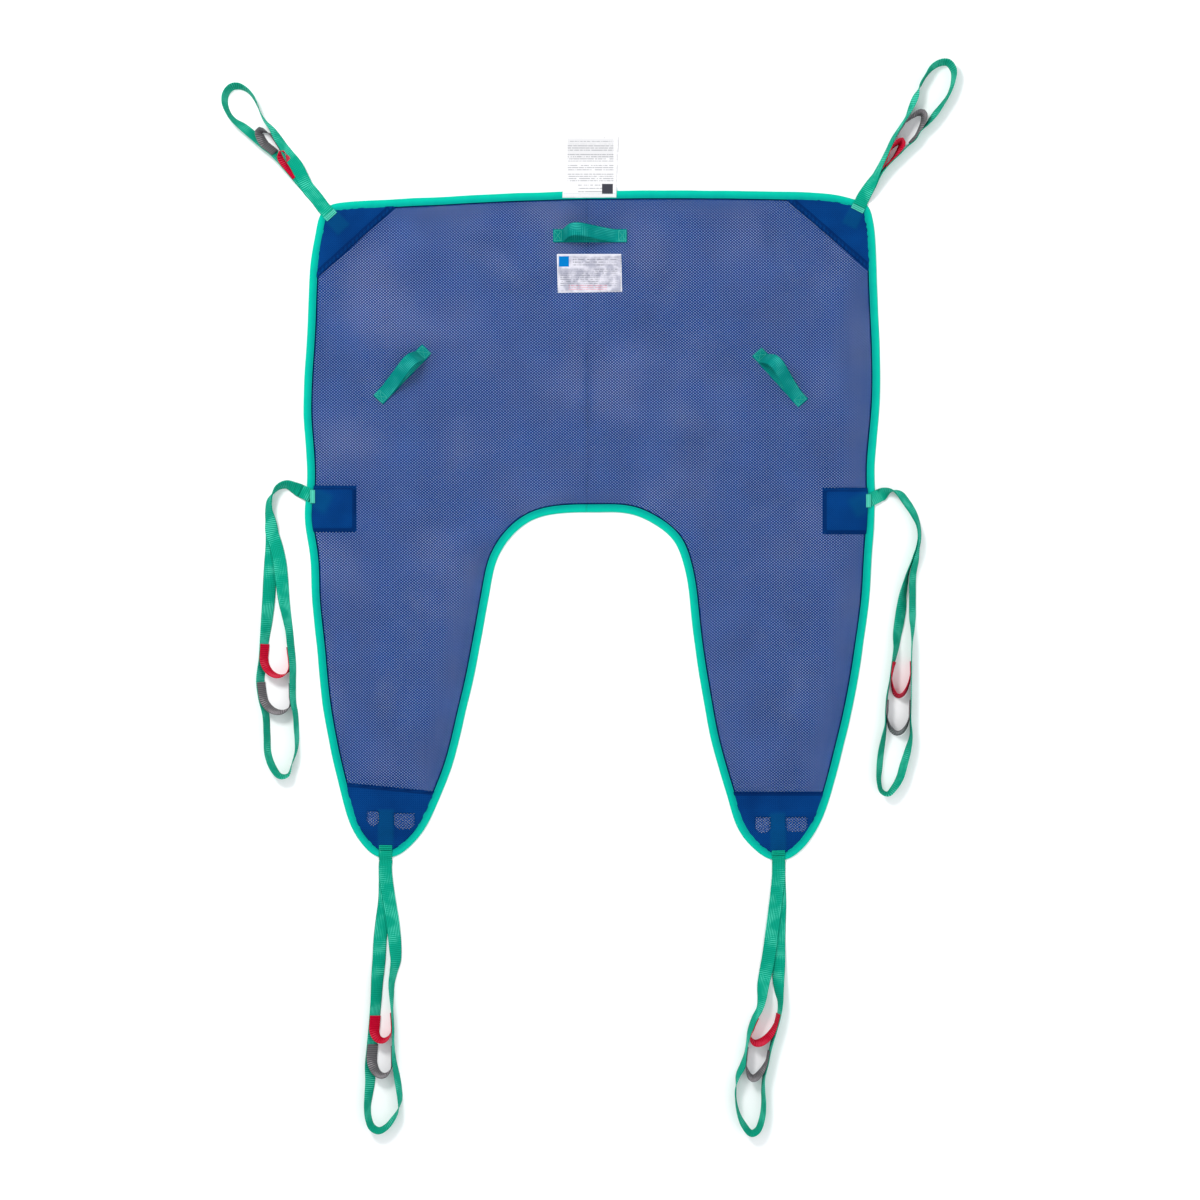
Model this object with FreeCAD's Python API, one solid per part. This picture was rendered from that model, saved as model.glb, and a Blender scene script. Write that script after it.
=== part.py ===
import FreeCAD, Part
import math
import os

# Patient lift sling with divided legs, lying flat, outside face up.
# Millimetres. +Y runs from the leg ends to the head end, +X to the right as it is seen
# from above, +Z up. The origin is on the floor, under the middle of the whole outline.

V = FreeCAD.Vector
UP = V(0, 0, 1)

# Driving dimensions: woven webbing
WEBBING_WIDTH = 25.4
WEBBING_THICKNESS = 1.5
PLY_GAP = 0.2              # clear gap between two plies of webbing that lie together
SEAM_GAP = 0.6             # clear gap between a short loop's sewn end and its strap
FLOOR_GAP = 0.25           # least height of webbing above the floor

# Driving dimensions: body fabric, measured up from the floor
BINDING_WIDTH = 15.0       # visible width of the folded edge tape
BINDING_THICKNESS = 0.8
PANEL_THICKNESS = 1.0
PATCH_THICKNESS = 0.7
LAYER_GAP = 0.05
PANEL_BOTTOM = BINDING_THICKNESS
PANEL_TOP = PANEL_BOTTOM + PANEL_THICKNESS
BINDING_TOP = PANEL_TOP + BINDING_THICKNESS
PATCH_BOTTOM = PANEL_TOP + LAYER_GAP
TAB_BOTTOM = PATCH_BOTTOM + WEBBING_THICKNESS + LAYER_GAP
HANDLE_BOTTOM = PATCH_BOTTOM + WEBBING_THICKNESS + LAYER_GAP
EDGE_TURN = 1.2            # thickness of the binding tape where it turns round the edge

# Driving dimensions: the folds
LEG_FOLD_Y = 73.0          # line across the sling where the legs fold against the back
PANEL_FOLD_GAP = 1.5       # from the fold line to the edge of each fabric
BINDING_FOLD_GAP = 3.5
STRAP_HINGE_GAP = 3.5      # from a strap's seam line to the start of its webbing

# Outline of the sling as it lies, anticlockwise from the left side of the head end
LEFT_SIDE = [
    (-525, 714), (-536, 651), (-542, 535), (-549, 420), (-550, 343), (-544, 262), (-545, 202),
    (-548, 150), (-539, 92), (-534, -4), (-526, -81), (-517, -177), (-498, -293), (-475, -389),
    (-457, -443), (-434, -477), (-411, -496),
]
LEFT_INSEAM = [
    (-372, -496), (-349, -481), (-324, -454), (-290, -389), (-261, -312), (-242, -235),
    (-224, -158), (-209, -81), (-195, -4), (-188, 35), (-178, 73), (-157, 110), (-111, 149),
]
CROTCH = [(-57, 163), (20, 165), (82, 161)]
RIGHT_INSEAM = [
    (126, 141), (165, 106), (180, 69), (193, -4), (201, -81), (213, -158), (226, -235),
    (244, -312), (267, -389), (292, -454), (317, -483), (346, -502),
]
RIGHT_SIDE = [
    (382, -502), (405, -487), (432, -454), (461, -389), (482, -312), (505, -216), (528, -81),
    (538, -4), (544, 92), (548, 150), (549, 194), (549, 256), (557, 352), (558, 497),
    (553, 612), (550, 689), (544, 733),
]
HEAD_EDGE = [
    (534, 756), (511, 767), (478, 775), (405, 781), (251, 784), (97, 784), (-57, 782),
    (-211, 776), (-365, 768), (-476, 761), (-496, 757), (-519, 735),
]

# Where each strap's seam line crosses the edge, and the strap's heading there in degrees.
# tab and tail are the lengths of the plies sewn on top of the edge and on the fabric.
STRAP_ROOTS = {
    "shoulder_left": {"at": (-509.5, 748.5), "heading": 132.3, "tab": 21, "tail": 52},
    "shoulder_right": {"at": (523.8, 764.2), "heading": 63.4, "tab": 21, "tail": 52},
    "hip_left": {"at": (-553.0, 204.8), "heading": 153.7, "tab": 27, "tail": 60},
    "hip_right": {"at": (557.0, 197.1), "heading": 26.9, "tab": 27, "tail": 60},
    "leg_left": {"at": (-392.5, -501.8), "heading": 269.5, "tab": 26, "tail": 92},
    "leg_right": {"at": (363.9, -508.0), "heading": 271.5, "tab": 22, "tail": 92},
}
TAIL_START = 12.0          # from a strap's seam line to where its tail may start, under the binding

# Straps. Each one is a single length of webbing that goes out from the edge, round its end
# loop and back. A station is (x, y, roll) or (x, y, roll, lift): a point on the inner face,
# the roll of the webbing in degrees (0 flat, 90 on its edge), and how far it is held up.
# "turn" is 1 where the loop runs clockwise seen from above, and -1 where it runs the other way.
STRAPS = {
    "shoulder_left": {"turn": 1, "stations": [
        (-512, 751, 0), (-525, 769, 0), (-542, 789, 0), (-557, 806, 18), (-572, 820, 42),
        (-588, 837, 50), (-605, 855, 51), (-629, 874, 50), (-650, 893, 47), (-667, 907, 52),
        (-682, 918, 66), (-693, 932, 72), (-700, 951, 68), (-698.6, 968, 67), (-688, 981, 66),
        (-675, 983, 68), (-659, 976, 77), (-647, 963, 80), (-639, 947, 84), (-633, 932, 90),
        (-624, 916, 100), (-611, 901, 112), (-600, 884, 125, 1), (-588, 866, 130, 4),
        (-577, 849, 150, 8), (-563, 830, 168, 8), (-552, 808, 178, 6), (-542, 789, 180, 3),
        (-525, 769, 180, 0.5), (-512, 751, 180),
    ]},
    "shoulder_right": {"turn": -1, "stations": [
        (525, 767, 0), (531, 778, 20), (542, 796, 38), (552, 811, 60), (565, 824, 80),
        (578, 837, 86), (594, 852, 86), (609, 867, 86), (623, 881, 78), (635, 897, 86),
        (650, 913, 76), (663, 930, 66), (677, 949, 74), (690, 969, 80), (698, 993, 76),
        (699, 1014, 68), (689, 1028, 66), (675, 1028, 66), (659, 1019, 70), (647, 1003, 80),
        (636, 984, 82), (628, 964, 112), (620, 945, 112), (611, 925, 100), (598, 905, 100),
        (584, 882, 104), (575, 862, 106), (566, 843, 108), (557, 825, 112), (550.8, 811.8, 120),
        (542, 796, 142), (531, 778, 160), (525, 767, 180),
    ]},
    "hip_left": {"turn": -1, "stations": [
        (-556, 206, 180), (-567, 212, 215), (-582, 218, 235), (-598, 213, 253), (-608, 201, 272),
        (-615, 187, 293), (-616, 167, 305), (-613, 148, 325), (-611, 127, 350), (-611, 100, 360),
        (-613, 69, 366), (-615, 35, 374), (-617, -4, 380), (-620, -42, 393), (-624, -81, 411),
        (-627, -119, 415), (-632, -158, 417), (-628, -192, 417), (-621, -225, 424),
        (-619, -264, 425), (-617, -300, 424), (-607, -327, 424), (-594, -342, 430),
        (-580, -340, 436), (-573, -320, 446), (-565, -296, 455), (-563, -277, 462),
        (-564, -250, 467), (-566, -221, 467), (-570, -200, 470), (-571, -167, 472),
        (-571, -129, 474), (-575, -90, 478), (-578, -62, 480), (-583, -33, 490), (-588, -4, 506),
        (-592, 35, 522), (-596, 69, 536, 1), (-603, 100, 540, 1.5), (-611, 127, 550, 1), (-613, 148, 575),
        (-616, 167, 595), (-615, 187, 607), (-608, 201, 628), (-598, 213, 647), (-582, 218, 665),
        (-567, 212, 685), (-556, 206, 720),
    ]},
    "hip_right": {"turn": 1, "stations": [
        (560, 198, 0), (567, 202, 35), (580, 206, 82), (596, 200, 118), (609, 184, 125),
        (623, 162, 120), (632, 139, 108), (634, 116, 105), (631, 94, 105), (627, 73, 117),
        (621, 44, 123), (620, 2, 124), (620, -37, 123), (620, -62, 110), (619, -85, 99),
        (618, -114, 97), (618, -154, 95), (617, -196, 92), (616, -235, 90), (617, -264, 82),
        (611, -293, 67), (603, -321, 60), (596, -345, 61), (585, -364, 66), (573, -376, 72),
        (562, -371, 70), (557, -352, 67), (558, -325, 60), (561, -296, 60), (566, -268, 67),
        (570, -243, 78), (571, -216, 78), (573, -187, 80), (578, -158, 83), (582, -135, 78),
        (586, -117, 70), (590, -96, 62), (592, -71, 46), (596, -46, 37), (600, -19, 38),
        (603, 6, 52), (608, 29, 65), (613, 50, 76), (620, 69, 79), (626, 85, 77),
        (629.8, 94.3, 75), (634, 116, 75), (632, 139, 72), (623, 162, 60), (609, 184, 55),
        (596, 200, 62), (580, 206, 98), (567, 202, 145), (560, 198, 180),
    ]},
    "leg_left": {"turn": -1, "stations": [
        (-392, -505, 0), (-393, -520, 0), (-393, -547, 0), (-394, -581, 0), (-399, -620, 0),
        (-403, -658, 4), (-405, -697, 10), (-408, -735, 26), (-410, -774, 36), (-414, -822, 40),
        (-418, -866, 40), (-421, -899, 38), (-421, -928, 44), (-424, -957, 55), (-426, -979, 63),
        (-424, -1000, 65), (-417, -1017, 65), (-405, -1023, 66), (-392, -1017, 69),
        (-379, -1002, 72), (-369, -985, 84), (-365, -966, 105), (-367, -943, 112),
        (-371, -918, 112), (-376, -889, 104), (-378, -860, 96), (-378, -828, 94),
        (-380, -793, 95), (-381, -764, 106), (-381, -741, 114), (-377, -718, 124),
        (-373, -697, 140), (-374, -670, 158), (-378, -629, 172), (-384, -591, 180),
        (-390, -552, 180), (-393, -520, 180), (-392, -505, 180),
    ]},
    "leg_right": {"turn": 1, "stations": [
        (364, -512, 0), (364, -527, 0), (365, -554, 0), (366, -587, 0), (365, -624, 0),
        (364, -662, 4), (364, -701, 12), (363, -735, 30), (364, -757, 50), (366, -776, 68),
        (364, -799, 76), (358, -824, 78), (351, -849, 80), (346, -870, 84), (341, -895, 84),
        (334, -922, 82), (333, -947, 76), (334, -972, 72), (331, -1000, 68), (322, -1023, 67),
        (311, -1028, 66), (297, -1012, 67), (287, -990, 77), (282, -962, 84), (282, -941, 84),
        (286, -918, 105), (295, -899, 112), (300, -878, 97), (304, -855, 96), (309, -832, 107),
        (318, -808, 112), (328, -789, 116), (332, -770, 130), (334, -747, 150), (339, -720, 166),
        (345, -687, 176, 1.5), (351, -643, 180, 1.2), (357, -597, 180, 0.8), (362, -554, 180, 0.4),
        (364, -527, 180), (364, -512, 180),
    ]},
}

# Short loops sewn across each strap, a red one nearer the sling and a grey one beyond it.
# "out" and "back" are the stretches of the strap, counted in its stations, that the loop's
# two ends are sewn along. Between them the loop bends freely: "reach" is how far its bend
# stands beyond the sewn ends, "swell" how much its sides bow, "tip" the roll at the bend.
LOOPS = {
    "shoulder_left": {
        "red": {"out": (3.4, 4.6), "back": (24.4, 25.2), "reach": 20, "swell": 0, "tip": 50},
        "grey": {"out": (6.0, 6.8), "back": (22.2, 23.3), "reach": 31, "swell": -3, "tip": 66},
    },
    "shoulder_right": {
        "red": {"out": (4.3, 5.1), "back": (26.9, 27.8), "reach": 44, "swell": 4, "tip": 64},
        "grey": {"out": (7.5, 8.5), "back": (24.1, 24.8), "reach": 45, "swell": -1, "tip": 66},
    },
    "hip_left": {
        "red": {"out": (14.2, 14.9), "back": (31.2, 31.9), "reach": 31, "swell": 0, "tip": 74},
        "grey": {"out": (16.1, 16.8), "back": (29.3, 30.1), "reach": 31, "swell": 0, "tip": 68},
    },
    "hip_right": {
        "red": {"out": (15.2, 15.8), "back": (33.5, 34.7), "reach": 42, "swell": 0, "tip": 109},
        "grey": {"out": (17.0, 17.6), "back": (30.9, 31.7), "reach": 40, "swell": 0, "tip": 112},
    },
    "leg_left": {
        "red": {"out": (8.6, 9.1), "back": (26.1, 26.9), "reach": 24, "swell": 0, "tip": 72},
        "grey": {"out": (9.8, 10.4), "back": (24.1, 25.0), "reach": 34, "swell": 0, "tip": 70},
    },
    "leg_right": {
        "red": {"out": (10.0, 10.8), "back": (29.2, 30.2), "reach": 33, "swell": 0, "tip": 62},
        "grey": {"out": (13.0, 13.8), "back": (26.7, 27.7), "reach": 36, "swell": -6, "tip": 64},
    },
}
BEND_STATIONS = 7          # stations in the free bend of a short loop
BEND_LIFT = 0.6            # least height that a bend is held up from the floor

# Carry handles. Each is a flat base strip with an arched strip sewn on it at both ends.
# "from" and "to" are the middles of its two ends, and "lean" is how far the arch leans to its
# left for each millimetre that it rises. The profile of the arch's underside is given as
# (distance along, height above the base strip).
HANDLES = {
    "handle_top": {"from": (-70, 697), "to": (72, 697), "lean": 0.27},
    "handle_left": {"from": (-313, 479), "to": (-407, 381), "lean": -0.14},
    "handle_right": {"from": (322, 474), "to": (411, 375), "lean": 0.28},
}
HANDLE_PROFILE = [
    (0, 0), (19, 0), (22, 6), (27, 19), (34, 31), (44, 36), (54, 34), (67, 27), (84, 17),
    (99, 9), (110, 3.5), (118, 0.6), (122, 0), (142, 0),
]
HANDLE_SEWN_LENGTH = 19.0

# Reinforcing patches, labels and stitching
LEFT_CORNER_HEM = ((-367, 757), (-525, 614))
RIGHT_CORNER_HEM = ((388, 758), (538, 628))
LEFT_LEG_HEM = ((-463, -356), (-299, -372))
RIGHT_LEG_HEM = ((282, -373), (449, -373))
LEFT_HIP_PATCH = (-545, 127, -449, 216)      # x from, y from, x to, y to
RIGHT_HIP_PATCH = (449, 123, 550, 212)
LEFT_WINDOWS = [(-428, -439, -405, -410), (-376, -445, -337, -414)]
RIGHT_WINDOWS = [(319, -452, 348, -422), (378, -450, 419, -422)]
WINDOW_CORNER = 11.0
CARE_LABEL = [(-63, 662), (-61, 587), (63, 589), (61, 662)]
CARE_LABEL_THICKNESS = 0.4
TAG_WIDTH = 105.0
TAG_CENTRE_X = 1.0
TAG_HEM_START = 769.0
TAG_FOLD_Y = 787.0
TAG_END = 893.0
TAG_THICKNESS = 0.7
STITCH_THICKNESS = 0.4
STITCH_WIDTH = 1.2

DEPTH = 60.0               # tall enough for any cutting prism


def polar(angle, length=1.0):
    """Horizontal vector at an angle from +X, in degrees."""
    radians = math.radians(angle)
    return V(length * math.cos(radians), length * math.sin(radians), 0)


def prism(points, bottom, height):
    """Straight-sided plate over a plan outline."""
    wire = Part.makePolygon([V(x, y, bottom) for x, y in points + points[:1]])
    return Part.Face(wire).extrude(V(0, 0, height))


def block(x_from, y_from, x_to, y_to, bottom=-DEPTH, height=2 * DEPTH):
    """Upright box between two plan corners."""
    corners = [(x_from, y_from), (x_to, y_from), (x_to, y_to), (x_from, y_to)]
    return prism(corners, bottom, height)


def strip(start, heading, length, width, bottom, height):
    """Plate that starts square across a point and runs along a heading."""
    along = polar(heading, length)
    across = polar(heading + 90, width / 2)
    corners = [start - across, start - across + along, start + across + along, start + across]
    return prism([(p.x, p.y) for p in corners], bottom, height)


def beside(line, bottom, height, depth=DEPTH * 20):
    """Half of the plan, on the left of a line from its first point to its second."""
    first = V(line[0][0], line[0][1], 0)
    second = V(line[1][0], line[1][1], 0)
    along = (second - first).normalize()
    inward = UP.cross(along) * depth
    reach = along * depth
    corners = [first - reach, second + reach, second + reach + inward, first - reach + inward]
    return prism([(p.x, p.y) for p in corners], bottom, height)


def outline_face(inset):
    """Plan face of the sling, its edge moved inwards by the inset."""
    points = LEFT_SIDE + LEFT_INSEAM + CROTCH + RIGHT_INSEAM + RIGHT_SIDE + HEAD_EDGE
    curve = Part.BSplineCurve()
    curve.interpolate([V(x, y, 0) for x, y in points], PeriodicFlag=True)
    if inset:
        knots = curve.getKnots()
        places = knots[:-1] + [(a + b) / 2 for a, b in zip(knots, knots[1:])]
        moved = []
        for place in sorted(places):
            point, along = curve.getD1(place)
            moved.append(point + UP.cross(along.normalize()) * inset)
        curve = Part.BSplineCurve()
        curve.interpolate(moved, PeriodicFlag=True)
    return Part.Face(Part.Wire(curve.toShape()))


def plate_of(face, bottom, height):
    """Plan face raised to a height and given a thickness."""
    plate = face.copy()
    plate.translate(V(0, 0, bottom))
    return plate.extrude(V(0, 0, height))


def rest_height(roll):
    """Height of the middle of the inner face when two plies of webbing rest on the floor."""
    edge = WEBBING_WIDTH / 2 * abs(math.sin(math.radians(roll)))
    plies = (WEBBING_THICKNESS + PLY_GAP + FLOOR_GAP) * abs(math.cos(math.radians(roll)))
    return edge + plies + FLOOR_GAP


def frames(stations, turn):
    """Turn stations into (point, width direction, inward normal)."""
    result = []
    for index, station in enumerate(stations):
        before = stations[max(index - 1, 0)]
        after = stations[min(index + 1, len(stations) - 1)]
        along = V(after[0] - before[0], after[1] - before[1], 0).normalize()
        outward = UP.cross(along) * turn
        roll = math.radians(station[2])
        lift = station[3] if len(station) > 3 else 0
        across = outward * math.cos(roll) + UP * math.sin(roll)
        inward = along.cross(across) * turn
        point = V(station[0], station[1], rest_height(station[2]) + lift)
        result.append((point, across, inward))
    return result


def between(route, start, end):
    """Frames of a route from one fractional station to another."""
    places = [start]
    places += [n for n in range(math.ceil(start), math.floor(end) + 1) if start < n < end]
    places.append(end)
    result = []
    for place in places:
        low = min(int(place), len(route) - 2)
        share = place - low
        point, across, inward = (
            route[low][n] * (1 - share) + route[low + 1][n] * share for n in range(3)
        )
        result.append((point, across.normalize(), inward.normalize()))
    return result


def ruled_face(near_start, near_end, far_start, far_end):
    """Bilinear face between two straight edges."""
    surface = Part.BezierSurface()
    surface.setPole(1, 1, near_start)
    surface.setPole(1, 2, near_end)
    surface.setPole(2, 1, far_start)
    surface.setPole(2, 2, far_end)
    return surface.toShape()


def skin(sections):
    """Closed solid through four-cornered sections, with a ruled face from edge to edge."""
    ends = (sections[0], sections[-1])
    faces = [Part.Face(Part.makePolygon(corners + corners[:1])) for corners in ends]
    for here, there in zip(sections, sections[1:]):
        for n in range(4):
            faces.append(ruled_face(here[n - 1], here[n], there[n - 1], there[n]))
    shell = Part.makeShell(faces)
    shell.sewShape()
    solid = Part.makeSolid(shell)
    if solid.Volume < 0:
        solid.reverse()
    return solid


def ribbon(route):
    """Solid webbing outside a route of frames on its inner face."""
    near = PLY_GAP / 2
    far = near + WEBBING_THICKNESS
    sections = []
    for point, across, inward in route:
        side = across * (WEBBING_WIDTH / 2)
        sections.append([
            point - side - inward * near,
            point + side - inward * near,
            point + side - inward * far,
            point - side - inward * far,
        ])
    return skin(sections)


def sewn_inside(route, start, end):
    """Frames of a second ply that lies against the inner face of a strap."""
    offset = WEBBING_THICKNESS + SEAM_GAP
    return [(p + inward * offset, across, inward) for p, across, inward in between(route, start, end)]


def strap_solid(name):
    strap = STRAPS[name]
    return ribbon(frames(strap["stations"], strap["turn"]))


def roll_at(stations, place):
    """Roll of a strap at a fractional station, between 0 and 360 degrees."""
    low = int(place)
    share = place - low
    return (stations[low][2] * (1 - share) + stations[low + 1][2] * share) % 360


def free_bend(first, last, direction, first_roll, last_roll, loop):
    """Stations of a short loop's bend, between the inner faces of its two sewn ends."""
    side = V(first.x - last.x, first.y - last.y, 0) / 2
    middle = (first + last) / 2
    first_lift = first.z - rest_height(first_roll)
    last_lift = last.z - rest_height(last_roll)
    stations = []
    for n in range(1, BEND_STATIONS + 1):
        share = n / (BEND_STATIONS + 1)
        bow = math.sin(math.pi * share)
        spread = math.cos(math.pi * share) * (1 + loop["swell"] * bow / side.Length)
        point = middle + side * spread + direction * (loop["reach"] * bow)
        roll = first_roll * (1 - share) + last_roll * share
        roll += (loop["tip"] - (first_roll + last_roll) / 2) * bow
        lift = max(BEND_LIFT, first_lift * (1 - share) + last_lift * share)
        stations.append((point.x, point.y, roll, lift))
    return stations


def loop_solid(name, colour):
    """A short loop: two ends sewn to the strap's inner face and a free bend between them."""
    strap = STRAPS[name]
    loop = LOOPS[name][colour]
    route = frames(strap["stations"], strap["turn"])
    outgoing = sewn_inside(route, *loop["out"])
    returning = sewn_inside(route, *loop["back"])
    first = outgoing[-1][0]
    last = returning[0][0]
    leaving = (first - outgoing[-2][0]).normalize()
    arriving = (last - returning[1][0]).normalize()
    direction = V(leaving.x + arriving.x, leaving.y + arriving.y, 0).normalize()
    first_roll = roll_at(strap["stations"], loop["out"][1])
    last_roll = roll_at(strap["stations"], loop["back"][0])
    bend = free_bend(first, last, direction, first_roll, last_roll, loop)
    # Frames take their heading from their neighbours, so the sewn ends are added and dropped
    free = [(first.x, first.y, 0)] + bend + [(last.x, last.y, 0)]
    return ribbon(outgoing + frames(free, strap["turn"])[1:-1] + returning)


def handle_line(name, height):
    """Start, heading vector and length of a handle, at a height above the floor."""
    start = V(*HANDLES[name]["from"], height)
    run = V(*HANDLES[name]["to"], height) - start
    return start, V(run).normalize(), run.Length


def handle_base(name):
    """Flat strip under a handle, from one sewn end to the other."""
    start, along, length = handle_line(name, 0)
    heading = math.degrees(math.atan2(along.y, along.x))
    return strip(start, heading, length, WEBBING_WIDTH, PATCH_BOTTOM, WEBBING_THICKNESS)


def handle_arch(name):
    """Upper strip of a handle, flat at both sewn ends and arched between them."""
    start, along, length = handle_line(name, HANDLE_BOTTOM)
    across = UP.cross(along)
    rising = UP + across * HANDLES[name]["lean"]
    scale = length / HANDLE_PROFILE[-1][0]
    places = [V(s * scale, 0, height) for s, height in HANDLE_PROFILE]
    side = across * (WEBBING_WIDTH / 2)
    sections = []
    for index, place in enumerate(places):
        before = places[max(index - 1, 0)]
        after = places[min(index + 1, len(places) - 1)]
        slope = (after - before).normalize()
        rise = (UP * slope.x - along * slope.z) * WEBBING_THICKNESS
        point = start + along * place.x + rising * place.z
        sections.append([point - side, point + side, point + side + rise, point - side + rise])
    return skin(sections)


def box_stitch(centre, heading, bottom):
    """Square of raised thread with a cross in it."""
    size = HANDLE_SEWN_LENGTH - 5
    half = size / 2
    bars = []
    for turn in (0, 90, 180, 270):
        start = centre + polar(heading + turn, half) - polar(heading + turn + 90, half)
        bars.append(strip(start, heading + turn + 90, size, STITCH_WIDTH, bottom, STITCH_THICKNESS))
    for turn in (45, 135):
        length = size * math.sqrt(2) - STITCH_WIDTH
        start = centre - polar(heading + turn, length / 2)
        bars.append(strip(start, heading + turn, length, STITCH_WIDTH, bottom, STITCH_THICKNESS))
    return bars[0].multiFuse(bars[1:]).removeSplitter()


def handle_stitching():
    """A box stitch on each sewn end of each handle."""
    bottom = HANDLE_BOTTOM + WEBBING_THICKNESS
    boxes = []
    for name in HANDLES:
        start, along, length = handle_line(name, 0)
        heading = math.degrees(math.atan2(along.y, along.x))
        for distance in (HANDLE_SEWN_LENGTH / 2, length - HANDLE_SEWN_LENGTH / 2):
            boxes.append(box_stitch(start + along * distance, heading, bottom))
    return Part.makeCompound(boxes)


def rounded_window(corners):
    """Cutting prism for a window in a patch, rounded at its lower corners."""
    x_from, y_from, x_to, y_to = corners
    prism_solid = block(x_from, y_from, x_to, y_to)
    lower = [
        edge for edge in prism_solid.Edges
        if edge.Length > DEPTH and edge.CenterOfMass.y < (y_from + y_to) / 2
    ]
    return prism_solid.makeFillet(WINDOW_CORNER, lower)


def tab_solid(name, outline_prism):
    """Short end of a strap, folded over the binding on the outside face."""
    root = STRAP_ROOTS[name]
    inward = root["heading"] + 180
    start = V(*root["at"], 0) + polar(inward, STRAP_HINGE_GAP)
    plate = strip(start, inward, root["tab"], WEBBING_WIDTH, TAB_BOTTOM, WEBBING_THICKNESS)
    return plate.common(outline_prism)


def tail_solid(name, inner_prism, clearance=0.0):
    """Long end of a strap, lying on the fabric inside the binding."""
    root = STRAP_ROOTS[name]
    inward = root["heading"] + 180
    start = V(*root["at"], 0) + polar(inward, TAIL_START - clearance)
    length = root["tail"] - TAIL_START + 2 * clearance
    width = WEBBING_WIDTH + 2 * clearance
    plate = strip(start, inward, length, width, PATCH_BOTTOM, WEBBING_THICKNESS)
    return plate.common(inner_prism)


def bar_tacks(name):
    """Two raised rows of thread across a tab."""
    root = STRAP_ROOTS[name]
    inward = root["heading"] + 180
    rows = []
    for distance in (root["tab"] - 1.5, root["tab"] - 5.0):
        start = V(*root["at"], 0) + polar(inward, distance)
        bottom = TAB_BOTTOM + WEBBING_THICKNESS
        rows.append(strip(start, inward, STITCH_WIDTH, WEBBING_WIDTH - 4, bottom, STITCH_THICKNESS))
    return rows


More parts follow.
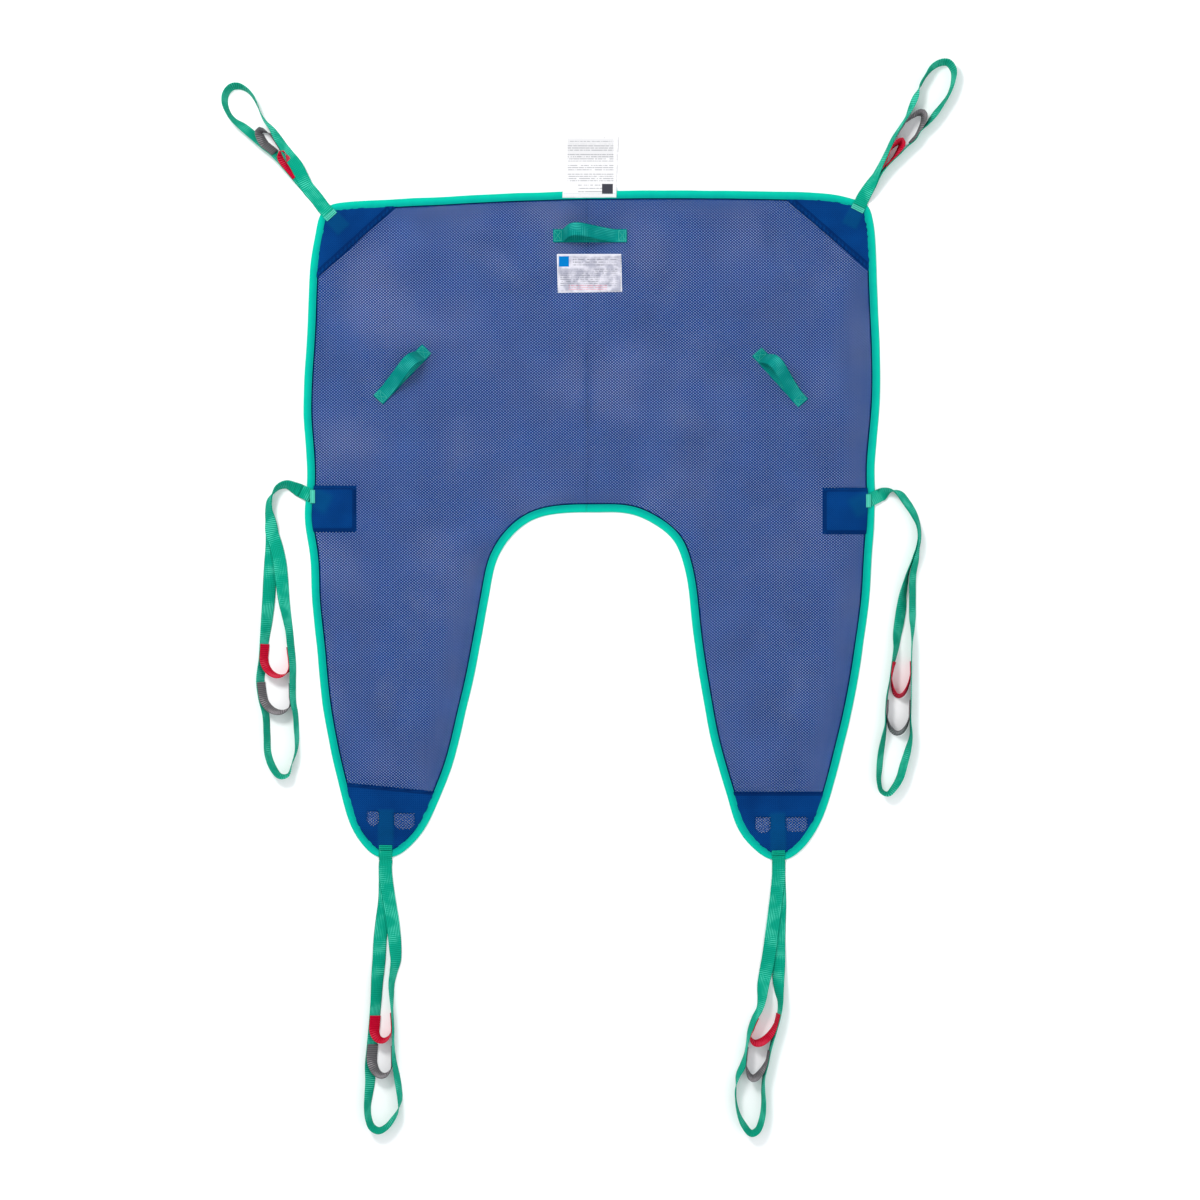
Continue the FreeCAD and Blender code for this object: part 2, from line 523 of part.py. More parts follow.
def build():
    """Make every node of the sling."""
    nodes = {}
    outline_prism = plate_of(outline_face(0), -DEPTH, 2 * DEPTH)
    turned_edge = plate_of(outline_face(EDGE_TURN), PANEL_BOTTOM, PANEL_THICKNESS)
    inner_prism = plate_of(outline_face(BINDING_WIDTH), -DEPTH, 2 * DEPTH)
    patch_prism = plate_of(outline_face(BINDING_WIDTH + 0.5), PATCH_BOTTOM, PATCH_THICKNESS)
    binding = plate_of(outline_face(0), 0, BINDING_TOP).cut(inner_prism).cut(turned_edge)

    far = DEPTH * 20
    fold = LEG_FOLD_Y
    regions = {
        "back": lambda gap: block(-far, fold + gap, far, far),
        "leg_left": lambda gap: block(-far, -far, 0, fold - gap),
        "leg_right": lambda gap: block(0, -far, far, fold - gap),
    }

    # Fabric panels, parted at the fold
    nodes["back_panel"] = turned_edge.common(regions["back"](PANEL_FOLD_GAP))
    nodes["leg_panel_left"] = turned_edge.common(regions["leg_left"](PANEL_FOLD_GAP))
    nodes["leg_panel_right"] = turned_edge.common(regions["leg_right"](PANEL_FOLD_GAP))

    # Edge binding, a folded tape in runs
    back_binding = binding.common(regions["back"](BINDING_FOLD_GAP))
    nodes["binding_head"] = back_binding.common(block(-far, 700, far, far))
    nodes["binding_side_left"] = back_binding.common(block(-far, 0, -300, 700))
    nodes["binding_side_right"] = back_binding.common(block(300, 0, far, 700))
    nodes["binding_crotch"] = back_binding.common(block(-300, 0, 300, 300))
    nodes["binding_leg_left"] = binding.common(regions["leg_left"](BINDING_FOLD_GAP))
    nodes["binding_leg_right"] = binding.common(regions["leg_right"](BINDING_FOLD_GAP))

    # Strap ends sewn to the sling
    slots = []
    for name in STRAP_ROOTS:
        nodes[name + "_tab"] = tab_solid(name, outline_prism)
        nodes[name + "_tail"] = tail_solid(name, inner_prism)
        slots.append(tail_solid(name, inner_prism, 0.4))

    # Reinforcing patches, cut round the tails that they are sewn over
    patches = {
        "corner_patch_left": beside(LEFT_CORNER_HEM[::-1], -DEPTH, 2 * DEPTH),
        "corner_patch_right": beside(RIGHT_CORNER_HEM, -DEPTH, 2 * DEPTH),
        "hip_patch_left": block(*LEFT_HIP_PATCH),
        "hip_patch_right": block(*RIGHT_HIP_PATCH),
        "leg_patch_left": beside(LEFT_LEG_HEM[::-1], -DEPTH, 2 * DEPTH).common(block(-far, -far, 0, 0)),
        "leg_patch_right": beside(RIGHT_LEG_HEM[::-1], -DEPTH, 2 * DEPTH).common(block(0, -far, far, 0)),
    }
    windows = [rounded_window(corners) for corners in LEFT_WINDOWS + RIGHT_WINDOWS]
    for name, cutter in patches.items():
        nodes[name] = patch_prism.common(cutter).cut(Part.makeCompound(slots + windows))

    # Handles and labels
    for name in HANDLES:
        nodes[name] = handle_arch(name)
        nodes[name + "_base"] = handle_base(name)
    nodes["handle_stitching"] = handle_stitching()
    nodes["care_label"] = prism(CARE_LABEL, PATCH_BOTTOM, CARE_LABEL_THICKNESS)
    half = TAG_WIDTH / 2
    left = TAG_CENTRE_X - half
    right = TAG_CENTRE_X + half
    hem_end = TAG_FOLD_Y - STRAP_HINGE_GAP
    tag_start = TAG_FOLD_Y + STRAP_HINGE_GAP / 2
    hem = block(left, TAG_HEM_START, right, hem_end, BINDING_TOP + LAYER_GAP, TAG_THICKNESS)
    nodes["instruction_tag_hem"] = hem.common(outline_prism)
    nodes["instruction_tag"] = block(left, tag_start, right, TAG_END, FLOOR_GAP, TAG_THICKNESS)

    # Stitching that holds the tabs
    back_roots = ("shoulder_left", "shoulder_right", "hip_left", "hip_right")
    rows = [row for name in back_roots for row in bar_tacks(name)]
    nodes["back_bar_tacks"] = Part.makeCompound(rows)
    nodes["leg_left_bar_tacks"] = Part.makeCompound(bar_tacks("leg_left"))
    nodes["leg_right_bar_tacks"] = Part.makeCompound(bar_tacks("leg_right"))

    # Straps with their short loops
    for name in STRAPS:
        nodes[name + "_strap"] = strap_solid(name)
        for colour in ("red", "grey"):
            nodes[name + "_" + colour + "_loop"] = loop_solid(name, colour)
    return nodes


os.makedirs("parts", exist_ok=True)
for node, shape in build().items():
    shape.exportStep(os.path.join("parts", node + ".step"))
    box = shape.BoundBox
    print(
        f"{node:28s} solids {len(shape.Solids)} valid {shape.isValid()} volume {shape.Volume:9.0f}"
        f"  x {box.XMin:7.1f} {box.XMax:7.1f}  y {box.YMin:7.1f} {box.YMax:7.1f}"
        f"  z {box.ZMin:5.2f} {box.ZMax:5.2f}"
    )
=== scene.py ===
import math

import bpy
import numpy as np
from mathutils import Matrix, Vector, noise
from mathutils.geometry import delaunay_2d_cdt


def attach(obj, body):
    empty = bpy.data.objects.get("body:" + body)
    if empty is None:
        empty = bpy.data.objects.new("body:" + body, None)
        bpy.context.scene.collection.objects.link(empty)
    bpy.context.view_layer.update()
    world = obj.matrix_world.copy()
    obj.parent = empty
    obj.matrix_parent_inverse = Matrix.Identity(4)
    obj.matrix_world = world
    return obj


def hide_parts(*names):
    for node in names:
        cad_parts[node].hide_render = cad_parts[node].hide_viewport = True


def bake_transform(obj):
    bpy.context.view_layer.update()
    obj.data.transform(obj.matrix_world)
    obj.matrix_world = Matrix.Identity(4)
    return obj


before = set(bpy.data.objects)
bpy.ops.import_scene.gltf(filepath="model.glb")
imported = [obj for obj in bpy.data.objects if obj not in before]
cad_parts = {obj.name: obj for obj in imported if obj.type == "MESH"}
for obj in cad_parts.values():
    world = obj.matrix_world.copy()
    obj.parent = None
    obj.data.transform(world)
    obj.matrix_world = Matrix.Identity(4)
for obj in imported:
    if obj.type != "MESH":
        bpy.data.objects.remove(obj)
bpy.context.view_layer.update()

# Patient lift sling with divided legs, lying flat. Shapes are worked out in millimetres, with
# +Y to the head end and +Z up, and put into the row frame in metres by new_piece().
MM = 0.001

# Sizes shared with the solid model
WEBBING_WIDTH = 25.4
WEBBING_THICKNESS = 1.5
PLY_GAP = 0.2
SEAM_GAP = 0.6
FLOOR_GAP = 0.25
BINDING_WIDTH = 15.0
PANEL_MIDDLE = 1.35
PATCH_HEIGHT = 2.15
TAIL_HEIGHT = 1.9
TAB_HEIGHT = 3.3

# Outline of the sling as it lies, anticlockwise from the left side of the head end
LEFT_SIDE = [
    (-525, 714), (-536, 651), (-542, 535), (-549, 420), (-550, 343), (-544, 262), (-545, 202),
    (-548, 150), (-539, 92), (-534, -4), (-526, -81), (-517, -177), (-498, -293), (-475, -389),
    (-457, -443), (-434, -477), (-411, -496),
]
LEFT_INSEAM = [
    (-372, -496), (-349, -481), (-324, -454), (-290, -389), (-261, -312), (-242, -235),
    (-224, -158), (-209, -81), (-195, -4), (-188, 35), (-178, 73), (-157, 110), (-111, 149),
]
CROTCH = [(-57, 163), (20, 165), (82, 161)]
RIGHT_INSEAM = [
    (126, 141), (165, 106), (180, 69), (193, -4), (201, -81), (213, -158), (226, -235),
    (244, -312), (267, -389), (292, -454), (317, -483), (346, -502),
]
RIGHT_SIDE = [
    (382, -502), (405, -487), (432, -454), (461, -389), (482, -312), (505, -216), (528, -81),
    (538, -4), (544, 92), (548, 150), (549, 194), (549, 256), (557, 352), (558, 497),
    (553, 612), (550, 689), (544, 733),
]
HEAD_EDGE = [
    (534, 756), (511, 767), (478, 775), (405, 781), (251, 784), (97, 784), (-57, 782),
    (-211, 776), (-365, 768), (-476, 761), (-496, 757), (-519, 735),
]

# Where each strap's seam line crosses the edge, and the strap's heading there in degrees.
# tab and tail are the lengths of the plies sewn on top of the edge and on the fabric.
STRAP_ROOTS = {
    "shoulder_left": {"at": (-509.5, 748.5), "heading": 132.3, "tab": 21, "tail": 52},
    "shoulder_right": {"at": (523.8, 764.2), "heading": 63.4, "tab": 21, "tail": 52},
    "hip_left": {"at": (-553.0, 204.8), "heading": 153.7, "tab": 27, "tail": 60},
    "hip_right": {"at": (557.0, 197.1), "heading": 26.9, "tab": 27, "tail": 60},
    "leg_left": {"at": (-392.5, -501.8), "heading": 269.5, "tab": 26, "tail": 92},
    "leg_right": {"at": (363.9, -508.0), "heading": 271.5, "tab": 22, "tail": 92},
}

# Straps. Each one is a single length of webbing that goes out from the edge, round its end
# loop and back. A station is (x, y, roll) or (x, y, roll, lift): a point on the inner face,
# the roll of the webbing in degrees (0 flat, 90 on its edge), and how far it is held up.
# "turn" is 1 where the loop runs clockwise seen from above, and -1 where it runs the other way.
STRAPS = {
    "shoulder_left": {"turn": 1, "stations": [
        (-512, 751, 0), (-525, 769, 0), (-542, 789, 0), (-557, 806, 18), (-572, 820, 42),
        (-588, 837, 50), (-605, 855, 51), (-629, 874, 50), (-650, 893, 47), (-667, 907, 52),
        (-682, 918, 66), (-693, 932, 72), (-700, 951, 68), (-698.6, 968, 67), (-688, 981, 66),
        (-675, 983, 68), (-659, 976, 77), (-647, 963, 80), (-639, 947, 84), (-633, 932, 90),
        (-624, 916, 100), (-611, 901, 112), (-600, 884, 125, 1), (-588, 866, 130, 4),
        (-577, 849, 150, 8), (-563, 830, 168, 8), (-552, 808, 178, 6), (-542, 789, 180, 3),
        (-525, 769, 180, 0.5), (-512, 751, 180),
    ]},
    "shoulder_right": {"turn": -1, "stations": [
        (525, 767, 0), (531, 778, 20), (542, 796, 38), (552, 811, 60), (565, 824, 80),
        (578, 837, 86), (594, 852, 86), (609, 867, 86), (623, 881, 78), (635, 897, 86),
        (650, 913, 76), (663, 930, 66), (677, 949, 74), (690, 969, 80), (698, 993, 76),
        (699, 1014, 68), (689, 1028, 66), (675, 1028, 66), (659, 1019, 70), (647, 1003, 80),
        (636, 984, 82), (628, 964, 112), (620, 945, 112), (611, 925, 100), (598, 905, 100),
        (584, 882, 104), (575, 862, 106), (566, 843, 108), (557, 825, 112), (550.8, 811.8, 120),
        (542, 796, 142), (531, 778, 160), (525, 767, 180),
    ]},
    "hip_left": {"turn": -1, "stations": [
        (-556, 206, 180), (-567, 212, 215), (-582, 218, 235), (-598, 213, 253), (-608, 201, 272),
        (-615, 187, 293), (-616, 167, 305), (-613, 148, 325), (-611, 127, 350), (-611, 100, 360),
        (-613, 69, 366), (-615, 35, 374), (-617, -4, 380), (-620, -42, 393), (-624, -81, 411),
        (-627, -119, 415), (-632, -158, 417), (-628, -192, 417), (-621, -225, 424),
        (-619, -264, 425), (-617, -300, 424), (-607, -327, 424), (-594, -342, 430),
        (-580, -340, 436), (-573, -320, 446), (-565, -296, 455), (-563, -277, 462),
        (-564, -250, 467), (-566, -221, 467), (-570, -200, 470), (-571, -167, 472),
        (-571, -129, 474), (-575, -90, 478), (-578, -62, 480), (-583, -33, 490), (-588, -4, 506),
        (-592, 35, 522), (-596, 69, 536, 1), (-603, 100, 540, 1.5), (-611, 127, 550, 1),
        (-613, 148, 575), (-616, 167, 595), (-615, 187, 607), (-608, 201, 628),
        (-598, 213, 647), (-582, 218, 665),
        (-567, 212, 685), (-556, 206, 720),
    ]},
    "hip_right": {"turn": 1, "stations": [
        (560, 198, 0), (567, 202, 35), (580, 206, 82), (596, 200, 118), (609, 184, 125),
        (623, 162, 120), (632, 139, 108), (634, 116, 105), (631, 94, 105), (627, 73, 117),
        (621, 44, 123), (620, 2, 124), (620, -37, 123), (620, -62, 110), (619, -85, 99),
        (618, -114, 97), (618, -154, 95), (617, -196, 92), (616, -235, 90), (617, -264, 82),
        (611, -293, 67), (603, -321, 60), (596, -345, 61), (585, -364, 66), (573, -376, 72),
        (562, -371, 70), (557, -352, 67), (558, -325, 60), (561, -296, 60), (566, -268, 67),
        (570, -243, 78), (571, -216, 78), (573, -187, 80), (578, -158, 83), (582, -135, 78),
        (586, -117, 70), (590, -96, 62), (592, -71, 46), (596, -46, 37), (600, -19, 38),
        (603, 6, 52), (608, 29, 65), (613, 50, 76), (620, 69, 79), (626, 85, 77),
        (629.8, 94.3, 75), (634, 116, 75), (632, 139, 72), (623, 162, 60), (609, 184, 55),
        (596, 200, 62), (580, 206, 98), (567, 202, 145), (560, 198, 180),
    ]},
    "leg_left": {"turn": -1, "stations": [
        (-392, -505, 0), (-393, -520, 0), (-393, -547, 0), (-394, -581, 0), (-399, -620, 0),
        (-403, -658, 4), (-405, -697, 10), (-408, -735, 26), (-410, -774, 36), (-414, -822, 40),
        (-418, -866, 40), (-421, -899, 38), (-421, -928, 44), (-424, -957, 55), (-426, -979, 63),
        (-424, -1000, 65), (-417, -1017, 65), (-405, -1023, 66), (-392, -1017, 69),
        (-379, -1002, 72), (-369, -985, 84), (-365, -966, 105), (-367, -943, 112),
        (-371, -918, 112), (-376, -889, 104), (-378, -860, 96), (-378, -828, 94),
        (-380, -793, 95), (-381, -764, 106), (-381, -741, 114), (-377, -718, 124),
        (-373, -697, 140), (-374, -670, 158), (-378, -629, 172), (-384, -591, 180),
        (-390, -552, 180), (-393, -520, 180), (-392, -505, 180),
    ]},
    "leg_right": {"turn": 1, "stations": [
        (364, -512, 0), (364, -527, 0), (365, -554, 0), (366, -587, 0), (365, -624, 0),
        (364, -662, 4), (364, -701, 12), (363, -735, 30), (364, -757, 50), (366, -776, 68),
        (364, -799, 76), (358, -824, 78), (351, -849, 80), (346, -870, 84), (341, -895, 84),
        (334, -922, 82), (333, -947, 76), (334, -972, 72), (331, -1000, 68), (322, -1023, 67),
        (311, -1028, 66), (297, -1012, 67), (287, -990, 77), (282, -962, 84), (282, -941, 84),
        (286, -918, 105), (295, -899, 112), (300, -878, 97), (304, -855, 96), (309, -832, 107),
        (318, -808, 112), (328, -789, 116), (332, -770, 130), (334, -747, 150), (339, -720, 166),
        (345, -687, 176, 1.5), (351, -643, 180, 1.2), (357, -597, 180, 0.8), (362, -554, 180, 0.4),
        (364, -527, 180), (364, -512, 180),
    ]},
}

# Short loops sewn across each strap, a red one nearer the sling and a grey one beyond it.
# "out" and "back" are the stretches of the strap, counted in its stations, that the loop's
# two ends are sewn along. Between them the loop bends freely: "reach" is how far its bend
# stands beyond the sewn ends, "swell" how much its sides bow, "tip" the roll at the bend.
LOOPS = {
    "shoulder_left": {
        "red": {"out": (3.4, 4.6), "back": (24.4, 25.2), "reach": 20, "swell": 0, "tip": 50},
        "grey": {"out": (6.0, 6.8), "back": (22.2, 23.3), "reach": 31, "swell": -3, "tip": 66},
    },
    "shoulder_right": {
        "red": {"out": (4.3, 5.1), "back": (26.9, 27.8), "reach": 44, "swell": 4, "tip": 64},
        "grey": {"out": (7.5, 8.5), "back": (24.1, 24.8), "reach": 45, "swell": -1, "tip": 66},
    },
    "hip_left": {
        "red": {"out": (14.2, 14.9), "back": (31.2, 31.9), "reach": 31, "swell": 0, "tip": 74},
        "grey": {"out": (16.1, 16.8), "back": (29.3, 30.1), "reach": 31, "swell": 0, "tip": 68},
    },
    "hip_right": {
        "red": {"out": (15.2, 15.8), "back": (33.5, 34.7), "reach": 42, "swell": 0, "tip": 109},
        "grey": {"out": (17.0, 17.6), "back": (30.9, 31.7), "reach": 40, "swell": 0, "tip": 112},
    },
    "leg_left": {
        "red": {"out": (8.6, 9.1), "back": (26.1, 26.9), "reach": 24, "swell": 0, "tip": 72},
        "grey": {"out": (9.8, 10.4), "back": (24.1, 25.0), "reach": 34, "swell": 0, "tip": 70},
    },
    "leg_right": {
        "red": {"out": (10.0, 10.8), "back": (29.2, 30.2), "reach": 33, "swell": 0, "tip": 62},
        "grey": {"out": (13.0, 13.8), "back": (26.7, 27.7), "reach": 36, "swell": -6, "tip": 64},
    },
}
BEND_STATIONS = 7          # stations in the free bend of a short loop
BEND_LIFT = 0.6            # least height that a bend is held up from the floor

# Carry handles. Each is a flat base strip with an arched strip sewn on it at both ends.
# "from" and "to" are the middles of its two ends, and "lean" is how far the arch leans to its
# left for each millimetre that it rises. The profile of the arch's underside is given as
# (distance along, height above the base strip).
HANDLES = {
    "handle_top": {"from": (-70, 697), "to": (72, 697), "lean": 0.27},
    "handle_left": {"from": (-313, 479), "to": (-407, 381), "lean": -0.14},
    "handle_right": {"from": (322, 474), "to": (411, 375), "lean": 0.28},
}
HANDLE_PROFILE = [
    (0, 0), (19, 0), (22, 6), (27, 19), (34, 31), (44, 36), (54, 34), (67, 27), (84, 17),
    (99, 9), (110, 3.5), (118, 0.6), (122, 0), (142, 0),
]

LEFT_CORNER_HEM = ((-367, 757), (-525, 614))
RIGHT_CORNER_HEM = ((388, 758), (538, 628))
LEFT_LEG_HEM = ((-463, -356), (-299, -372))
RIGHT_LEG_HEM = ((282, -373), (449, -373))
LEFT_HIP_PATCH = (-545, 127, -449, 216)      # x from, y from, x to, y to
RIGHT_HIP_PATCH = (449, 123, 550, 212)
LEFT_WINDOWS = [(-428, -439, -405, -410), (-376, -445, -337, -414)]
RIGHT_WINDOWS = [(319, -452, 348, -422), (378, -450, 419, -422)]
WINDOW_CORNER = 11.0
CARE_LABEL = [(-63, 662), (-61, 587), (63, 589), (61, 662)]

# Sizes of the looks
CENTRE_X = -4.0            # where the two halves of the net meet, along the storage crease
NET_THICKNESS = 0.7
NET_SPACING = 8.0          # between mesh points inside a sheet
PATCH_SPACING = 4.0
OUTLINE_STEP = 4.0
STRAP_STEP = 3.0
NET_HOLE = 1.2             # radius of the net's holes
RIB_PITCH = 3.7            # between the ribs that run across the webbing
BAND_PITCH = 3.1           # between the bands that run along it
STITCH_PITCH = 3.4
STITCH_LENGTH = 2.5
STITCH_RADIUS = 0.42
END_PIECE = 12.0           # free webbing that belongs to each strap's sewn end
TURNED_END = 9.0           # length of a tab's folded end
TURNED_LIFT = 1.3          # height of the folded end above the tab's inner face
HIP_TURNED_LIFT = 2.3      # the same at the hips, where it stands clear of the tab
HIP_TAB_CUT = 7.0          # how much shorter the tab under it is at the hips
WEBBING_TOP = 1.75         # height of thread on webbing above the webbing's inner face
TACK_HALF_WIDTH = 10.6     # of a row of thread across a tab
TAPE_STITCH_INSET = 12.6   # from the edge to the stitches along the tape
TAPE_STITCH_HEIGHT = 2.98
HEM_INSET = 3.0            # from a patch's edge to its stitches
SECOND_HEM = 8.0           # the second row on a corner patch
PUFF_HEIGHT = 5.0          # crown of a hip patch
SHEET_SPACING = 4.0        # between mesh points of the label and the tag
LABEL_THICKNESS = 0.35
TAG_THICKNESS = 0.5
STRIP_POINTS = 60          # along a handle's base strip
BOX_INSET = 9.0            # from the end of a handle to the middle of its box stitch


# ---------------------------------------------------------------- curves in plan

def periodic_spline(points, step):
    """Closed cubic spline through plan points, as evenly spaced points."""
    knots = np.array(points, float)
    count = len(knots)
    chord = np.linalg.norm(np.roll(knots, -1, 0) - knots, axis=1)
    before = np.roll(chord, 1)
    matrix = np.zeros((count, count))
    right = np.zeros((count, 2))
    for i in range(count):
        matrix[i, i - 1] += before[i] / 6
        matrix[i, i] += (before[i] + chord[i]) / 3
        matrix[i, (i + 1) % count] += chord[i] / 6
        right[i] = (knots[(i + 1) % count] - knots[i]) / chord[i] - (knots[i] - knots[i - 1]) / before[i]
    bend = np.linalg.solve(matrix, right)
    fine = []
    shares = np.linspace(0, 1, 12, endpoint=False)
    for i in range(count):
        n = (i + 1) % count
        for t in shares:
            a = 1 - t
            curve = chord[i] ** 2 / 6 * ((a ** 3 - a) * bend[i] + (t ** 3 - t) * bend[n])
            fine.append(a * knots[i] + t * knots[n] + curve)
    return evenly(np.array(fine + fine[:1]), step)[:-1]


def lengths_along(points):
    """Distance of each point of a route from its first point."""
    return np.r_[0, np.cumsum(np.linalg.norm(np.diff(points, axis=0), axis=1))]


def evenly(points, step):
    """Points at even distances along a route."""
    lengths = lengths_along(points)
    count = max(int(round(lengths[-1] / step)), 2)
    places = np.linspace(0, lengths[-1], count + 1)
    return np.stack([np.interp(places, lengths, column) for column in points.T], axis=1)


def closed_normals(points):
    """Inward normals of an anticlockwise closed outline."""
    along = np.roll(points, -1, 0) - np.roll(points, 1, 0)
    along /= np.linalg.norm(along, axis=1)[:, None]
    return np.stack([-along[:, 1], along[:, 0]], axis=1)


def clip(polygon, point, inward):
    """The part of a polygon on the inner side of a line."""
    kept = []
    point = np.array(point, float)
    inward = np.array(inward, float)
    for a, b in zip(polygon, np.roll(polygon, -1, 0)):
        da = float(np.dot(a - point, inward))
        db = float(np.dot(b - point, inward))
        if da >= 0:
            kept.append(a)
        if da * db < 0:
            kept.append(a + (b - a) * da / (da - db))
    return np.array(kept)


def clip_left_of(polygon, line):
    """The part of a polygon on the left of a line from its first point to its second."""
    first = np.array(line[0], float)
    along = np.array(line[1], float) - first
    return clip(polygon, first, (-along[1], along[0]))


def inside(points, polygon):
    """True for each point inside a polygon."""
    result = np.zeros(len(points), bool)
    for (ax, ay), (bx, by) in zip(polygon, np.roll(polygon, -1, 0)):
        if ay == by:
            continue
        crosses = (ay > points[:, 1]) != (by > points[:, 1])
        result ^= crosses & (points[:, 0] < (bx - ax) * (points[:, 1] - ay) / (by - ay) + ax)
    return result


def distance_to(points, targets):
    """Distance from each point to the nearest of the targets."""
    result = np.empty(len(points))
    block = 500
    for start in range(0, len(points), block):
        gaps = np.linalg.norm(points[start:start + block, None] - targets[None], axis=2)
        result[start:start + block] = gaps.min(1)
    return result


def distance_to_line(points, line):
    """Distance from each point to the endless line through two points."""
    first, last = np.array(line, float)
    along = (last - first) / np.linalg.norm(last - first)
    return np.abs((points - first) @ np.array((-along[1], along[0])))


OUTLINE = periodic_spline(
    LEFT_SIDE + LEFT_INSEAM + CROTCH + RIGHT_INSEAM + RIGHT_SIDE + HEAD_EDGE, OUTLINE_STEP
)
INWARD = closed_normals(OUTLINE)


# ---------------------------------------------------------------- the lie of the cloth

def smooth(value, low, high):
    """0 up to low, 1 from high on, and a smooth step between."""
    share = min(max((value - low) / (high - low), 0.0), 1.0)
    return share * share * (3 - 2 * share)


def wave(x, y, size, seed):
    """Smooth hills and hollows of about the given size over the plan."""
    return noise.noise(Vector((x / size, y / size, seed)))


def fold(x, y, start, end, width, height):
    """A soft ridge from one plan point to another, fading at both ends."""
    ax, ay = start
    bx, by = end
    length = math.hypot(bx - ax, by - ay)
    ux, uy = (bx - ax) / length, (by - ay) / length
    along = (x - ax) * ux + (y - ay) * uy
    across = (x - ax) * uy - (y - ay) * ux
    if not 0 < along < length or abs(across) > 3 * width:
        return 0.0
    return height * math.sin(math.pi * along / length) * math.exp(-(across / width) ** 2)


TAIL_BULGE = 1.9           # how far a patch stands up over a strap's tail

# Soft ridges in the cloth: from, to, width, height. The first is the storage crease.
RIDGES = [
    ((-5, 600), (-2, 180), 5, 1.6),
    ((-330, 740), (-180, 620), 16, 1.6), ((-250, 700), (-60, 560), 18, 1.2),
    ((330, 740), (420, 560), 18, 1.5), ((-480, 520), (-360, 300), 22, 1.6),
    ((470, 560), (420, 300), 20, 1.3), ((-430, 250), (-250, 120), 20, 1.4),
    ((430, 240), (260, 110), 20, 1.4), ((-420, 40), (-300, -120), 20, 1.5),
    ((-480, -20), (-420, -260), 18, 1.4), ((-330, -60), (-370, -330), 17, 1.5),
    ((330, 30), (400, -180), 18, 1.5), ((440, -40), (350, -320), 18, 1.3),
    ((90, 420), (260, 300), 20, 1.1), ((-210, 380), (-90, 240), 20, 1.0),
]


def lie(x, y):
    """How far the cloth is lifted at a plan point."""
    lift = 1.3 * (wave(x, y, 120, 3.1) + 0.45) + 0.6 * wave(x, y, 46, 8.7)
    for start, end, width, height in RIDGES:
        lift += fold(x, y, start, end, width, height)
    return max(lift, 0.0)


def seam_heading(name):
    """The way a strap's sewn end points: at the hips, square to the side edge."""
    if name == "hip_left":
        return 180.0
    if name == "hip_right":
        return 0.0
    return STRAP_ROOTS[name]["heading"]


def tail_bulge(x, y):
    """Extra height where a patch runs over a strap's tail."""
    height = 0.0
    for name, root in STRAP_ROOTS.items():
        heading = math.radians(root["heading"])
        dx = x - root["at"][0]
        dy = y - root["at"][1]
        along = -(dx * math.cos(heading) + dy * math.sin(heading))
        across = abs(dx * math.sin(heading) - dy * math.cos(heading))
        spread = 14 if name.startswith("hip") else 5
        beside = 1 - smooth(across, WEBBING_WIDTH / 2, WEBBING_WIDTH / 2 + spread)
        height = max(height, beside * (1 - smooth(along, root["tail"] + 5 - spread, root["tail"] + 5)))
    return TAIL_BULGE * height


# ---------------------------------------------------------------- meshes

def new_piece(
    name, vertices, faces, flat, materials, body=None, face_slots=None, replaces=(), slot=None, marks=None
):
    """A mesh object from millimetre points. flat keeps each vertex's place on the uncut cloth,
    and each of the marks is a function that gives one more number for such places."""
    mesh = bpy.data.meshes.new(name)
    mesh.from_pydata([(x * MM, y * MM, z * MM) for x, y, z in vertices], [], [list(f) for f in faces])
    mesh.validate()
    attribute = mesh.attributes.new("flat", "FLOAT_VECTOR", "POINT")
    attribute.data.foreach_set("vector", np.array(flat, np.float32).ravel())
    for mark, value_at in (marks or {}).items():
        attribute = mesh.attributes.new(mark, "FLOAT", "POINT")
        attribute.data.foreach_set("value", value_at(np.array(flat, float)[:, :2]).astype(np.float32))
    for material in materials:
        mesh.materials.append(material)
    mesh.polygons.foreach_set("use_smooth", [True] * len(mesh.polygons))
    if face_slots is not None:
        mesh.polygons.foreach_set("material_index", face_slots)
    mesh.update()
    piece = bpy.data.objects.new(name, mesh)
    bpy.context.scene.collection.objects.link(piece)
    if body:
        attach(piece, body)
    if replaces:
        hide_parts(*replaces)
    return piece


